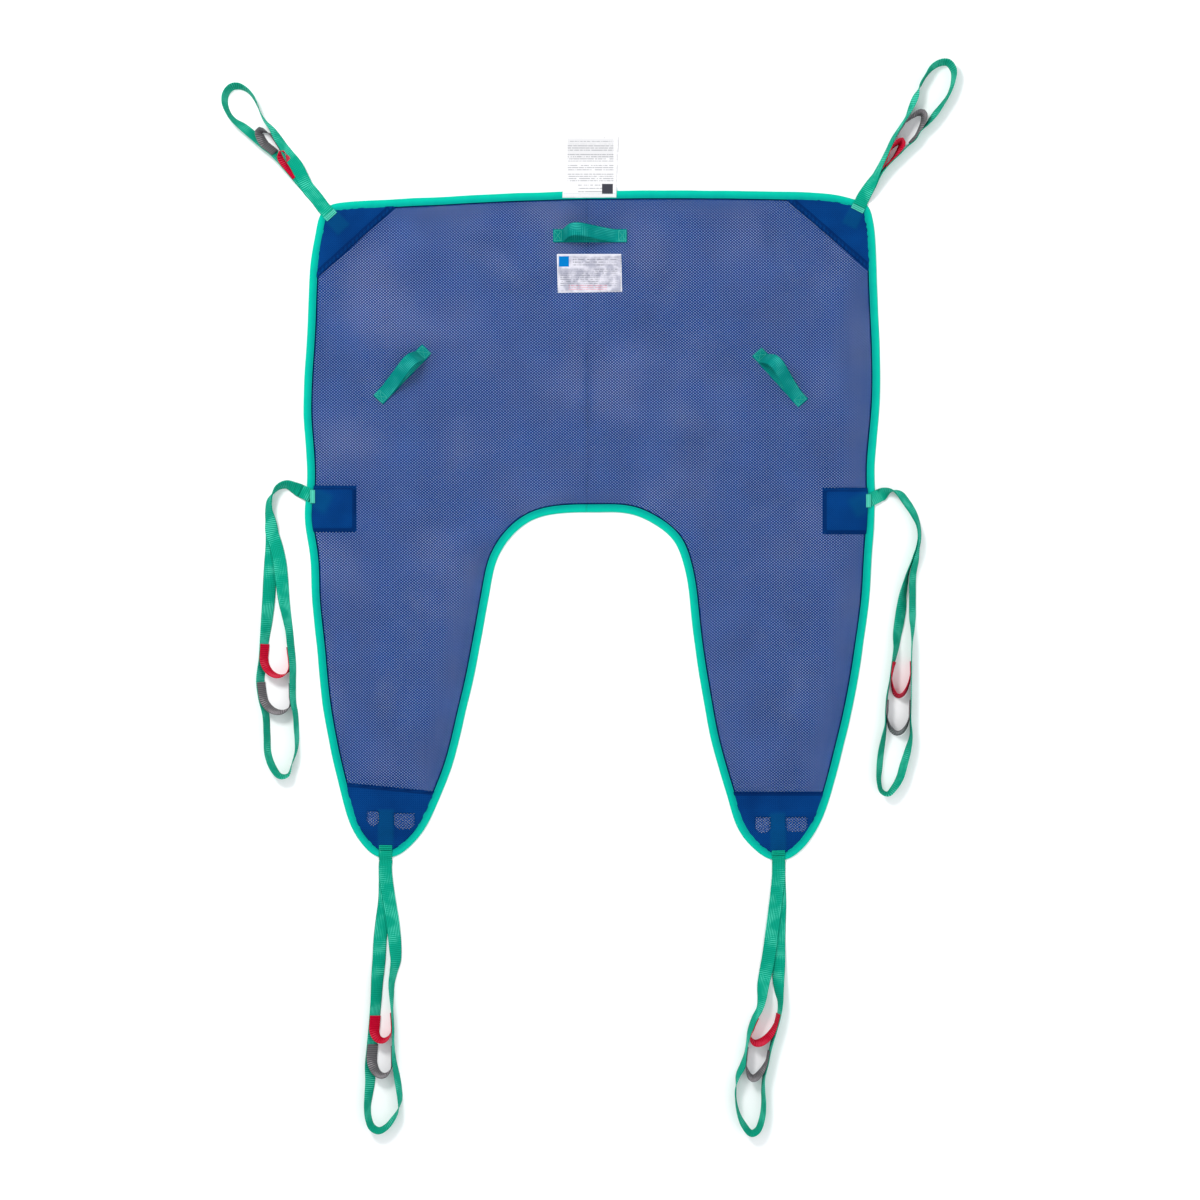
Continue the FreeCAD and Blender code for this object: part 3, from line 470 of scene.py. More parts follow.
def sheet_mesh(polygon, height, spacing, holes=(), thickness=NET_THICKNESS):
    """Sheet over a plan polygon, with its top at height(x, y): vertices, faces and flat places."""
    low = polygon.min(0)
    high = polygon.max(0)
    columns = np.arange(low[0] + spacing / 2, high[0], spacing)
    rows = np.arange(low[1] + spacing / 2, high[1], spacing)
    grid = np.array([(x + (i % 2) * spacing / 2, y) for i, y in enumerate(rows) for x in columns])
    grid = grid[inside(grid, polygon)]
    loops = [polygon] + [np.array(hole, float) for hole in holes]
    edge_points = np.concatenate(loops)
    grid = grid[distance_to(grid, edge_points) > spacing * 0.45]
    points = [Vector(p) for p in edge_points] + [Vector(p) for p in grid]
    edges = []
    first = 0
    for loop in loops:
        count = len(loop)
        edges += [(first + n, first + (n + 1) % count) for n in range(count)]
        first += count
    plan, _, triangles, _, _, _ = delaunay_2d_cdt(points, edges, [], 0, 1e-4)
    plan = np.array([tuple(p) for p in plan])
    triangles = np.array([t for t in triangles])
    centres = plan[triangles].mean(1)
    kept = inside(centres, polygon)
    for hole in loops[1:]:
        kept &= ~inside(centres, hole)
    triangles = triangles[kept]
    used, triangles = np.unique(triangles, return_inverse=True)
    triangles = triangles.reshape(-1, 3)
    plan = plan[used]
    top = [(x, y, height(x, y)) for x, y in plan]
    under = [(x, y, z - thickness) for x, y, z in top]
    count = len(plan)
    faces = [tuple(t) for t in triangles] + [(c + count, b + count, a + count) for a, b, c in triangles]
    sides = {}
    for a, b, c in triangles:
        for edge in ((a, b), (b, c), (c, a)):
            sides[edge] = True
    faces += [(b, a, a + count, b + count) for a, b in sides if (b, a) not in sides]
    flat = [(x, y, 0) for x, y in plan] * 2
    return top + under, faces, flat


def tube_faces(rings, size):
    """Faces between rings of equal size, laid one after the other, with closed ends."""
    faces = []
    for ring in range(rings - 1):
        for n in range(size):
            a = ring * size + n
            b = ring * size + (n + 1) % size
            faces.append((a, b, b + size, a + size))
    faces.append(tuple(reversed(range(size))))
    faces.append(tuple(range((rings - 1) * size, rings * size)))
    return faces


def stitches(lines, radius=STITCH_RADIUS, pitch=STITCH_PITCH, length=STITCH_LENGTH):
    """Raised thread along routes of (x, y, z): vertices, faces and flat places."""
    vertices = []
    faces = []
    sides = 6
    shape = [(-0.5, 0.35), (-0.3, 0.95), (0.3, 0.95), (0.5, 0.35)]
    for line in lines:
        line = np.array(line, float)
        lengths = lengths_along(line)
        count = max(int(lengths[-1] / pitch), 1)
        for n in range(count):
            middle = (n + 0.5) * lengths[-1] / count
            ends = [
                np.array([np.interp(place, lengths, column) for column in line.T])
                for place in (middle - length / 2, middle + length / 2)
            ]
            along = ends[1] - ends[0]
            along /= max(np.linalg.norm(along), 1e-9)
            side = np.cross((0, 0, 1), along)
            side /= max(np.linalg.norm(side), 1e-9)
            up = np.cross(along, side)
            first = len(vertices)
            centre = (ends[0] + ends[1]) / 2
            for share, swell in shape:
                for k in range(sides):
                    turn = 2 * math.pi * k / sides
                    spot = centre + along * share * length
                    spot = spot + (side * math.cos(turn) + up * math.sin(turn)) * radius * swell
                    vertices.append(tuple(spot))
            faces += [tuple(first + i for i in face) for face in tube_faces(len(shape), sides)]
    return vertices, faces, vertices


def joined(*parts):
    """Several (vertices, faces, flat) as one, with a material number for each."""
    vertices, faces, flat, slots = [], [], [], []
    for number, part in enumerate(parts):
        first = len(vertices)
        vertices += list(part[0])
        flat += list(part[2])
        faces += [tuple(first + i for i in face) for face in part[1]]
        slots += [number] * len(part[1])
    return vertices, faces, flat, slots


# ---------------------------------------------------------------- webbing

# Half of the section of woven webbing: (share of the half width, height above its inner face)
WEBBING_SECTION = [
    (-1.0, 0.85), (-0.97, 1.45), (-0.88, 1.58), (-0.45, 1.6), (0.0, 1.6), (0.45, 1.6),
    (0.88, 1.58), (0.97, 1.45), (1.0, 0.85), (0.97, 0.2), (0.88, 0.11), (0.45, 0.1),
    (0.0, 0.1), (-0.45, 0.1), (-0.88, 0.11), (-0.97, 0.2),
]


def rest_height(roll):
    """Height of the middle of the inner face when two plies of webbing rest on the floor."""
    edge = WEBBING_WIDTH / 2 * np.abs(np.sin(np.radians(roll)))
    plies = (WEBBING_THICKNESS + PLY_GAP + FLOOR_GAP) * np.abs(np.cos(np.radians(roll)))
    return edge + plies + FLOOR_GAP


def stations_array(stations):
    """Stations as rows of x, y, roll and lift."""
    return np.array([tuple(s) + (0.0,) * (4 - len(s)) for s in stations], float)


def through(stations, step=STRAP_STEP):
    """Smooth stations close together, through given ones, with each one's place among them."""
    knots = stations_array(stations)
    padded = np.vstack([2 * knots[0] - knots[1], knots, 2 * knots[-1] - knots[-2]])
    fine = []
    places = []
    for i in range(1, len(padded) - 2):
        p0, p1, p2, p3 = padded[i - 1:i + 3]
        gaps = [max(np.linalg.norm(b[:2] - a[:2]), 1e-3) ** 0.5 for a, b in ((p0, p1), (p1, p2), (p2, p3))]
        m1 = (p1 - p0) / gaps[0] - (p2 - p0) / (gaps[0] + gaps[1]) + (p2 - p1) / gaps[1]
        m2 = (p2 - p1) / gaps[1] - (p3 - p1) / (gaps[1] + gaps[2]) + (p3 - p2) / gaps[2]
        m1 *= gaps[1]
        m2 *= gaps[1]
        count = max(int(math.hypot(*(p2 - p1)[:2]) / step), 1)
        for t in np.arange(count) / count:
            fine.append(
                (2 * t ** 3 - 3 * t ** 2 + 1) * p1 + (t ** 3 - 2 * t ** 2 + t) * m1
                + (3 * t ** 2 - 2 * t ** 3) * p2 + (t ** 3 - t ** 2) * m2
            )
            places.append(i - 1 + t)
    fine.append(knots[-1])
    places.append(len(knots) - 1.0)
    return np.array(fine), np.array(places)


def frames(stations, turn):
    """Turn close stations into (points, width directions, inward normals)."""
    along = np.gradient(stations[:, :2], axis=0)
    along /= np.linalg.norm(along, axis=1)[:, None]
    roll = np.radians(stations[:, 2])[:, None]
    outward = np.c_[-along[:, 1], along[:, 0], np.zeros(len(along))] * turn
    across = outward * np.cos(roll) + np.array((0, 0, 1.0)) * np.sin(roll)
    inward = np.cross(np.c_[along, np.zeros(len(along))], across) * turn
    heights = rest_height(stations[:, 2]) + stations[:, 3]
    return np.c_[stations[:, :2], heights], across, inward


def ribbon(points, across, inward, start=0.0):
    """Webbing outside a route of frames on its inner face."""
    vertices = []
    flat = []
    steps = lengths_along(points) + start
    for point, side, normal, length in zip(points, across, inward, steps):
        for share, height in WEBBING_SECTION:
            spot = point + side * (share * WEBBING_WIDTH / 2) - normal * height
            vertices.append(tuple(spot))
            flat.append((share * WEBBING_WIDTH / 2, length, height))
    return vertices, tube_faces(len(points), len(WEBBING_SECTION)), flat


def part_of(route, places, start, end):
    """The frames of a dense route between two fractional stations."""
    fine = np.unique(np.r_[start, places[(places > start) & (places < end)], end])
    result = []
    for values in route:
        columns = [np.interp(fine, places, column) for column in values.T]
        result.append(np.stack(columns, axis=1))
    points, across, inward = result
    across /= np.linalg.norm(across, axis=1)[:, None]
    inward /= np.linalg.norm(inward, axis=1)[:, None]
    return points, across, inward


def free_bend(first, last, direction, first_roll, last_roll, loop):
    """Stations of a short loop's bend, between the inner faces of its two sewn ends."""
    side = (first - last)[:2] / 2
    middle = (first + last)[:2] / 2
    first_lift = first[2] - rest_height(first_roll)
    last_lift = last[2] - rest_height(last_roll)
    result = []
    for n in range(1, BEND_STATIONS + 1):
        share = n / (BEND_STATIONS + 1)
        bow = math.sin(math.pi * share)
        spread = math.cos(math.pi * share) * (1 + loop["swell"] * bow / np.linalg.norm(side))
        x, y = middle + side * spread + direction * (loop["reach"] * bow)
        roll = first_roll * (1 - share) + last_roll * share
        roll += (loop["tip"] - (first_roll + last_roll) / 2) * bow
        lift = max(BEND_LIFT, first_lift * (1 - share) + last_lift * share)
        result.append((x, y, roll, lift))
    return result


def loop_frames(strap, route, places, loop):
    """Frames of a short loop: two ends sewn inside the strap, with a smooth bend between them."""
    offset = WEBBING_THICKNESS + SEAM_GAP
    sewn = []
    for start, end in (loop["out"], loop["back"]):
        points, across, inward = part_of(route, places, start, end)
        sewn.append((points + inward * offset, across, inward))
    outgoing, returning = sewn
    first = outgoing[0][-1]
    last = returning[0][0]
    leaving = outgoing[0][-1] - outgoing[0][0]
    arriving = returning[0][0] - returning[0][-1]
    direction = leaving / np.linalg.norm(leaving) + arriving / np.linalg.norm(arriving)
    direction = direction[:2] / np.linalg.norm(direction[:2])
    rolls = stations_array(strap["stations"])[:, 2]
    counts = np.arange(len(rolls))
    first_roll = np.interp(loop["out"][1], counts, rolls) % 360
    last_roll = np.interp(loop["back"][0], counts, rolls) % 360
    bend = free_bend(first, last, direction, first_roll, last_roll, loop)
    ends = [
        (first[0], first[1], first_roll, first[2] - rest_height(first_roll)),
        (last[0], last[1], last_roll, last[2] - rest_height(last_roll)),
    ]
    dense, _ = through([ends[0]] + bend + [ends[1]])
    middle = frames(dense, strap["turn"])
    return tuple(np.vstack([a, b[1:-1], c]) for a, b, c in zip(outgoing, middle, returning))


# ---------------------------------------------------------------- materials

def linear(red, green, blue):
    """A colour seen on screen, 0 to 255, as scene-linear."""
    def one(value):
        value /= 255
        return value / 12.92 if value <= 0.04045 else ((value + 0.055) / 1.055) ** 2.4
    return (one(red), one(green), one(blue), 1.0)


class Look:
    """A material under construction, with short ways to add nodes."""

    def __init__(self, name, **settings):
        self.material = bpy.data.materials.new(name)
        self.material.use_nodes = True
        self.tree = self.material.node_tree
        self.shader = self.tree.nodes["Principled BSDF"]
        self.output = self.tree.nodes["Material Output"]
        for socket, value in settings.items():
            self.shader.inputs[socket.replace("_", " ")].default_value = value
        place = self.node("ShaderNodeAttribute", attribute_name="flat")
        split = self.node("ShaderNodeSeparateXYZ")
        self.link(place.outputs["Vector"], split.inputs[0])
        self.place = place.outputs["Vector"]
        self.x, self.y = split.outputs[0], split.outputs[1]
        self.shader.inputs["Specular IOR Level"].default_value = 0.03

    def node(self, kind, **settings):
        made = self.tree.nodes.new(kind)
        for name, value in settings.items():
            setattr(made, name, value)
        return made

    def mark(self, name):
        """A number stored on the mesh."""
        return self.node("ShaderNodeAttribute", attribute_name=name).outputs["Fac"]

    def link(self, source, target):
        """Set a constant on a socket, or join another socket to it."""
        if isinstance(source, (int, float, tuple)):
            target.default_value = source
        else:
            self.tree.links.new(source, target)

    def math(self, operation, *values):
        made = self.node("ShaderNodeMath", operation=operation)
        for value, socket in zip(values, made.inputs):
            self.link(value, socket)
        return made.outputs[0]

    def ramp(self, value, low, high, start=0.0, end=1.0):
        """A smooth step from start at low to end at high."""
        made = self.node("ShaderNodeMapRange", interpolation_type="SMOOTHSTEP")
        for socket, given in zip(made.inputs, (value, low, high, start, end)):
            self.link(given, socket)
        return made.outputs[0]

    def mix(self, share, first, second):
        made = self.node("ShaderNodeMix", data_type="RGBA")
        for name, given in (("Factor", share), ("A", first), ("B", second)):
            socket = [s for s in made.inputs if s.name == name and s.enabled][0]
            self.link(given, socket)
        return [s for s in made.outputs if s.enabled][0]

    def cloud(self, scale, detail=2.0):
        """Slow changes between 0 and 1 over the flat cloth."""
        made = self.node("ShaderNodeTexNoise")
        made.inputs["Scale"].default_value = scale
        made.inputs["Detail"].default_value = detail
        self.link(self.place, made.inputs["Vector"])
        return made.outputs[0]

    def stripe(self, value, pitch):
        """0 to 1 to 0 over each pitch."""
        turn = self.math("MULTIPLY", value, 2 * math.pi / pitch)
        return self.math("MULTIPLY_ADD", self.math("SINE", turn), 0.5, 0.5)

    def nearest(self, pitch_x, pitch_y, stagger=True):
        """Distance to the nearest hole of a staggered lattice."""
        reaches = []
        for shift in ((0.0, 0.5) if stagger else (0.0,)):
            squares = []
            for value, pitch in ((self.x, pitch_x), (self.y, pitch_y)):
                share = self.math("FRACT", self.math("ADD", self.math("DIVIDE", value, pitch), shift))
                gap = self.math("MULTIPLY", self.math("SUBTRACT", share, 0.5), pitch)
                squares.append(self.math("MULTIPLY", gap, gap))
            reaches.append(self.math("SQRT", self.math("ADD", *squares)))
        if stagger:
            return self.math("MINIMUM", *reaches)
        return reaches[0]

    def bump(self, height, distance):
        """Surface relief, with its depth in millimetres."""
        made = self.node("ShaderNodeBump")
        made.inputs["Strength"].default_value = 1.0
        made.inputs["Distance"].default_value = distance * MM
        self.link(height, made.inputs["Height"])
        self.link(made.outputs[0], self.shader.inputs["Normal"])

    def colour(self, value):
        self.link(value, self.shader.inputs["Base Color"])

    def see_through(self, solid):
        """Mix with nothing where solid is 0."""
        clear = self.node("ShaderNodeBsdfTransparent")
        mixed = self.node("ShaderNodeMixShader")
        self.link(solid, mixed.inputs[0])
        self.link(clear.outputs[0], mixed.inputs[1])
        self.link(self.shader.outputs[0], mixed.inputs[2])
        self.link(mixed.outputs[0], self.output.inputs["Surface"])


def yarn_tone_with_painted_light(look, reach, hole, spread):
    """0 dark to 1 bright: rounded yarn round each hole, painted light next to the hole as a painted
    highlight and dark away from it as painted shade, with fine ribs and slow changes.
    """
    # crown is the painted highlight by each hole, fading to painted shade between holes; it is also the
    # yarn's bump height
    crown = look.ramp(reach, hole, hole + spread, 1.0, 0.0)
    ribs = look.stripe(look.math("ADD", look.x, look.math("MULTIPLY", look.y, 0.35)), 0.9)
    tone = look.math("MULTIPLY_ADD", crown, 0.55, look.math("MULTIPLY", ribs, 0.12))
    return look.math("ADD", tone, look.math("MULTIPLY", look.cloud(0.012), 0.4)), crown, ribs


def net_look():
    """Knitted net: yarn between rows of round holes that let the ground show."""
    look = Look("net_blue", Roughness=0.8)
    reach = look.nearest(6.25, 5.25)
    tone, crown, ribs = yarn_tone_with_painted_light(look, reach, NET_HOLE, 1.7)
    edge = look.mark("edge")
    # Painted shade: the net is dark along the binding's inner edge, under and just inside it, and is kept
    # solid there
    hem = look.ramp(edge, BINDING_WIDTH + 1.5, BINDING_WIDTH + 3.5, 1.0, 0.0)
    # Dark navy is painted shade between the holes, bright blue is painted highlight on the yarn beside them
    colour = look.mix(tone, linear(0, 6, 46), linear(34, 84, 160))
    look.colour(look.mix(hem, colour, linear(0, 16, 52)))
    look.bump(look.math("MULTIPLY_ADD", ribs, 0.2, crown), 0.4)
    yarn = look.ramp(reach, NET_HOLE - 0.14, NET_HOLE + 0.14)
    look.see_through(look.math("MAXIMUM", yarn, hem))
    return look.material


def double_net_look():
    """Two layers of closer net: a fine square grid with painted shade in its holes, a dark folded hem, teal
    where a tail is under it.
    """
    look = Look("net_double", Roughness=0.8)
    reach = look.nearest(4.1, 4.1, stagger=False)
    tone, crown, ribs = yarn_tone_with_painted_light(look, reach, 0.7, 1.5)
    # Painted shade in the holes, which are drawn dark on the solid sheet
    tone = look.math("SUBTRACT", tone, look.ramp(reach, 0.7, 1.25, 0.75, 0.0))
    colour = look.mix(tone, linear(0, 14, 64), linear(6, 84, 160))
    colour = look.mix(look.math("MULTIPLY", look.mark("over"), 0.18), colour, linear(0, 96, 120))
    hem = look.math("ABSOLUTE", look.math("SUBTRACT", look.mark("edge"), 3.0))
    fold = look.ramp(hem, 0.9, 2.2, 0.6, 0.0)
    look.colour(look.mix(fold, colour, linear(0, 22, 68)))
    look.bump(look.math("MULTIPLY_ADD", ribs, 0.2, crown), 0.35)
    return look.material


def webbing_look(name, dark, bright, pale):
    """Woven webbing: ribs across it and bands along it, pale where they catch the light."""
    look = Look(name, Roughness=0.6, Sheen_Weight=0.01, Sheen_Roughness=0.4)
    rib = look.stripe(look.y, RIB_PITCH)
    band = look.stripe(look.x, BAND_PITCH)
    warp = look.stripe(look.x, 1.05)
    edge = look.ramp(look.math("ABSOLUTE", look.x), 10.8, 11.8)
    slow = look.cloud(0.022)
    lengthwise = look.ramp(look.cloud(0.013), 0.46, 0.54)
    line = look.math("MULTIPLY_ADD", look.math("SUBTRACT", band, rib), lengthwise, rib)
    tone = look.math("MULTIPLY_ADD", slow, 0.6, look.math("MULTIPLY", warp, 0.12))
    tone = look.math("ADD", tone, look.math("MULTIPLY", line, 0.45))
    tone = look.math("SUBTRACT", tone, look.math("MULTIPLY", edge, 0.08))
    crest = look.math("MULTIPLY", look.ramp(line, 0.5, 1.0), look.ramp(slow, 0.45, 0.62, 0.05, 0.8))
    look.colour(look.mix(crest, look.mix(tone, dark, bright), pale))
    height = look.math("MULTIPLY_ADD", line, 0.7, look.math("MULTIPLY", warp, 0.3))
    look.bump(look.math("MULTIPLY_ADD", edge, 0.3, height), 0.6)
    return look.material


def tape_look(name, dark, bright):
    """Flat woven tape."""
    look = Look(name, Roughness=0.7, Sheen_Weight=0.03, Sheen_Roughness=0.5)
    weft = look.stripe(look.y, 2.2)
    warp = look.stripe(look.x, 1.0)
    tone = look.math("MULTIPLY_ADD", weft, 0.25, look.math("MULTIPLY", warp, 0.2))
    tone = look.math("ADD", tone, look.math("MULTIPLY", look.cloud(0.04, 3.0), 0.3))
    # Painted light and shade: brighter along the folded outer edge, darker towards the inner edge
    tone = look.math("ADD", tone, look.ramp(look.x, 3.0, 12.0, 0.3, -0.1))
    look.colour(look.mix(tone, dark, bright))
    look.bump(look.math("ADD", weft, warp), 0.22)
    return look.material


def thread_look(name, colour):
    """Twisted sewing thread."""
    look = Look(name, Roughness=0.55)
    twist = look.stripe(look.math("ADD", look.x, look.y), 0.8)
    look.colour(look.mix(twist, tuple(c * 0.75 for c in colour[:3]) + (1.0,), colour))
    look.bump(twist, 0.12)
    return look.material


def print_bars(look, rows, height, gap, left, right, seed):
    """Rows of short dark bars, like lines of small print: 1 on a bar."""
    row = look.math("DIVIDE", look.y, gap)
    share = look.math("FRACT", row)
    on_row = look.math("LESS_THAN", share, height / gap)
    words = look.node("ShaderNodeTexNoise")
    words.inputs["Scale"].default_value = 1.0
    words.inputs["Detail"].default_value = 0.0
    spot = look.node("ShaderNodeCombineXYZ")
    look.link(look.math("MULTIPLY", look.x, 0.45), spot.inputs[0])
    look.link(look.math("MULTIPLY", look.math("FLOOR", row), 7.31), spot.inputs[1])
    look.link(seed, spot.inputs[2])
    look.link(spot.outputs[0], words.inputs["Vector"])
    on_word = look.math("GREATER_THAN", words.outputs[0], 0.4)
    block = box_mask(look, left, rows[0], right, rows[1])
    return look.math("MULTIPLY", look.math("MULTIPLY", on_row, on_word), block)


def box_mask(look, x_from, y_from, x_to, y_to):
    """1 inside a rectangle of the flat sheet."""
    tests = [
        look.math("GREATER_THAN", look.x, x_from), look.math("LESS_THAN", look.x, x_to),
        look.math("GREATER_THAN", look.y, y_from), look.math("LESS_THAN", look.y, y_to),
    ]
    result = tests[0]
    for test in tests[1:]:
        result = look.math("MULTIPLY", result, test)
    return result


TAG_WHITE = linear(217, 216, 217)
GREY_INK = linear(104, 106, 114)
NET = net_look()
DOUBLE_NET = double_net_look()
TAPE = tape_look("binding_tape", linear(0, 138, 138), linear(0, 204, 168))
GREEN = webbing_look("webbing_green", linear(0, 118, 92), linear(0, 168, 138), linear(92, 220, 190))
# Paler copy of the green webbing for the folded tab ends: painted light where the folded end catches the
# light
LIT_END_GREEN = webbing_look("webbing_end_painted_light", linear(40, 164, 140), linear(86, 198, 174), linear(132, 226, 204))
HANDLE_GREEN = webbing_look("webbing_handle", linear(0, 92, 90), linear(2, 146, 136), linear(64, 186, 174))
RED = webbing_look("webbing_red", linear(146, 0, 26), linear(212, 0, 52), linear(240, 96, 120))
GREY = webbing_look("webbing_grey", linear(64, 62, 64), linear(116, 116, 118), linear(206, 198, 202))
THREAD = thread_look("thread_green", linear(0, 168, 138))
DARK_THREAD = thread_look("thread_dark", linear(0, 98, 88))
PALE_THREAD = thread_look("thread_pale", linear(70, 186, 168))
BLUE_THREAD = thread_look("thread_blue", linear(2, 30, 84))


def label_look():
    """White cloth label: a plain blue square, lines of grey print and reddish lines at the foot."""
    look = Look("label_cloth", Roughness=0.6)
    paper = linear(206, 204, 214)
    shade = linear(160, 160, 174)
    small = print_bars(look, (599.0, 634.0), 1.7, 3.9, -56.0, 54.0, 1.0)
    large = print_bars(look, (637.0, 656.0), 2.6, 5.2, -32.0, 54.0, 4.0)
    red = print_bars(look, (592.0, 604.0), 1.7, 3.9, -40.0, 34.0, 9.0)
    tone = look.mix(look.ramp(look.cloud(0.06, 3.0), 0.35, 0.65), paper, shade)
    strength = look.ramp(look.cloud(0.04), 0.35, 0.65, 0.25, 0.75)
    ink = look.math("MULTIPLY", look.math("MAXIMUM", small, large), strength)
    tone = look.mix(ink, tone, GREY_INK)
    tone = look.mix(look.math("MULTIPLY", red, 0.45), tone, linear(206, 86, 104))
    tone = look.mix(box_mask(look, -61.0, 589.5, 60.5, 659.0), linear(214, 214, 222), tone)
    tone = look.mix(box_mask(look, -59.0, 637.5, -39.5, 657.5), tone, linear(0, 110, 178))
    look.colour(tone)
    look.bump(look.cloud(0.07, 3.0), 2.6)
    return look.material


def tag_look():
    """White coated sheet with pale paragraphs and a plain dark square near its hem."""
    look = Look("tag_sheet", Roughness=0.5)
    print_all = print_bars(look, (800.0, 880.0), 1.7, 4.2, -42.0, 46.0, 3.0)
    foot = print_bars(look, (776.0, 797.0), 1.8, 6.4, -22.0, 24.0, 6.0)
    gaps = look.math("GREATER_THAN", look.math("FRACT", look.math("DIVIDE", look.y, 19.0)), 0.22)
    ink = look.math("MAXIMUM", look.math("MULTIPLY", print_all, gaps), foot)
    tone = look.mix(look.math("MULTIPLY", ink, 0.62), TAG_WHITE, GREY_INK)
    # A faint even grey over the sheet's upper part, from y 846 to 884
    tone = look.mix(look.math("MULTIPLY", box_mask(look, -42.0, 846.0, 46.0, 884.0), 0.12), tone, GREY_INK)
    tone = look.mix(box_mask(look, 24.0, 777.0, 45.0, 797.0), tone, linear(58, 58, 66))
    look.colour(tone)
    look.bump(look.cloud(0.05, 3.0), 0.7)
    return look.material


# ---------------------------------------------------------------- net and patches

def inset_outline(distance):
    """The outline moved inwards."""
    return OUTLINE + INWARD * distance


def panel_height(x, y):
    return PANEL_MIDDLE + NET_THICKNESS / 2 + lie(x, y)


under_tape = inset_outline(2.5)
for side, sign, nodes in (
    ("left", -1, ("leg_panel_left", "back_panel")), ("right", 1, ("leg_panel_right", "back_panel")),
):
    half = clip(under_tape, (CENTRE_X, 0), (sign, 0))
    vertices, faces, flat = sheet_mesh(half, panel_height, NET_SPACING)
    panel = new_piece(
        "net_" + side, vertices, faces, flat, [NET], replaces=nodes, slot="mesh_blue",
        marks={"edge": lambda places: distance_to(places, OUTLINE)},
    )
    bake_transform(panel)

    # Binding tape: a folded strip round this half of the outline, with its row of stitches
    route = np.where((OUTLINE[:, 0] - CENTRE_X) * sign >= 0)[0]
    breaks = np.where(np.diff(route) > 1)[0]
    if len(breaks):
        route = np.r_[route[breaks[0] + 1:], route[:breaks[0] + 1]]
    if side == "right":
        # The two halves of the tape meet at shared points
        route = np.r_[route[0] - 1, route, route[-1] + 1] % len(OUTLINE)
    section = [
        (15.0, 2.05), (15.0, 2.7), (14.2, 2.9), (10.0, 2.95), (5.0, 2.9), (1.6, 2.55), (0.4, 2.0),
        (0.0, 1.35), (0.4, 0.7), (1.6, 0.2), (5.0, 0.05), (10.0, 0.0), (14.2, 0.05), (15.0, 0.3),
        (15.0, 0.8), (9.0, 0.85), (3.0, 0.9), (1.5, 1.35), (3.0, 2.0), (9.0, 2.05),
    ]
    vertices, flat, row = [], [], []
    for count, index in enumerate(route):
        base = OUTLINE[index]
        inward = INWARD[index]
        length = count * OUTLINE_STEP
        pucker = wave(length, 0, 9.0, 1.7 + sign) * 0.35
        edge = wave(length, 0, 60.0, 5.2 + sign) * 0.7
        lift = lie(*(base + inward * 9))
        for depth, height in section:
            shift = edge * (1 - depth / 30)
            spot = base + inward * (depth + shift)
            rise = lift * smooth(height, 0.0, 1.6) * 0.9 + lift * 0.1
            top = height + rise + pucker * smooth(height, 1.4, 2.6)
            vertices.append((spot[0], spot[1], max(top, 0.02)))
            flat.append((depth, length, height))
        spot = base + inward * (TAPE_STITCH_INSET + edge * 0.6)
        row.append((spot[0], spot[1], TAPE_STITCH_HEIGHT + lift + pucker))
    tape = (vertices, tube_faces(len(route), len(section)), flat)
    parts = joined(tape, stitches([row]))
    binding = new_piece(
        "binding_" + side, *parts[:3], [TAPE, THREAD], face_slots=parts[3], slot="binding_tape",
        replaces=("binding_head", "binding_crotch", "binding_side_" + side, "binding_leg_" + side),
    )
    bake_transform(binding)


def puff(x, y):
    """The hip patches stand up loosely over the ends of the strap tails."""
    height = 0.0
    for corners in (LEFT_HIP_PATCH, RIGHT_HIP_PATCH):
        x_share = (x - corners[0]) / (corners[2] - corners[0])
        y_share = (y - corners[1]) / (corners[3] - corners[1])
        if 0 < x_share < 1 and 0 < y_share < 1:
            crown = math.sin(math.pi * x_share) * math.sin(math.pi * y_share)
            height = PUFF_HEIGHT * crown * (0.75 + 0.9 * wave(x, y, 34, 7.3))
    return max(height, 0.0)


def patch_height(x, y):
    return PATCH_HEIGHT + NET_THICKNESS + lie(x, y) + tail_bulge(x, y) + puff(x, y)


def window_shape(corners):
    """D-shaped window, rounded at its lower corners."""
    x_from, y_from, x_to, y_to = corners
    radius = min(WINDOW_CORNER, (x_to - x_from) / 2 - 0.5)
    points = [(x_to, y_to), (x_from, y_to)]
    for centre_x, start in ((x_from + radius, 180), (x_to - radius, 270)):
        for turn in range(0, 91, 15):
            angle = math.radians(start + turn)
            points.append((centre_x + radius * math.cos(angle), y_from + radius + radius * math.sin(angle)))
    return points


def rectangle(corners):
    """A point on each side of a rectangle, with the way inwards."""
    low = corners[:2]
    high = corners[2:]
    return [(low, (1, 0)), (low, (0, 1)), (high, (-1, 0)), (high, (0, -1))]


def resample(polygon, step):
    """The same outline with no edge longer than the step."""
    points = []
    for a, b in zip(polygon, np.roll(polygon, -1, 0)):
        count = max(int(math.ceil(np.linalg.norm(b - a) / step)), 1)
        points += [a + (b - a) * n / count for n in range(count)]
    return np.array(points)


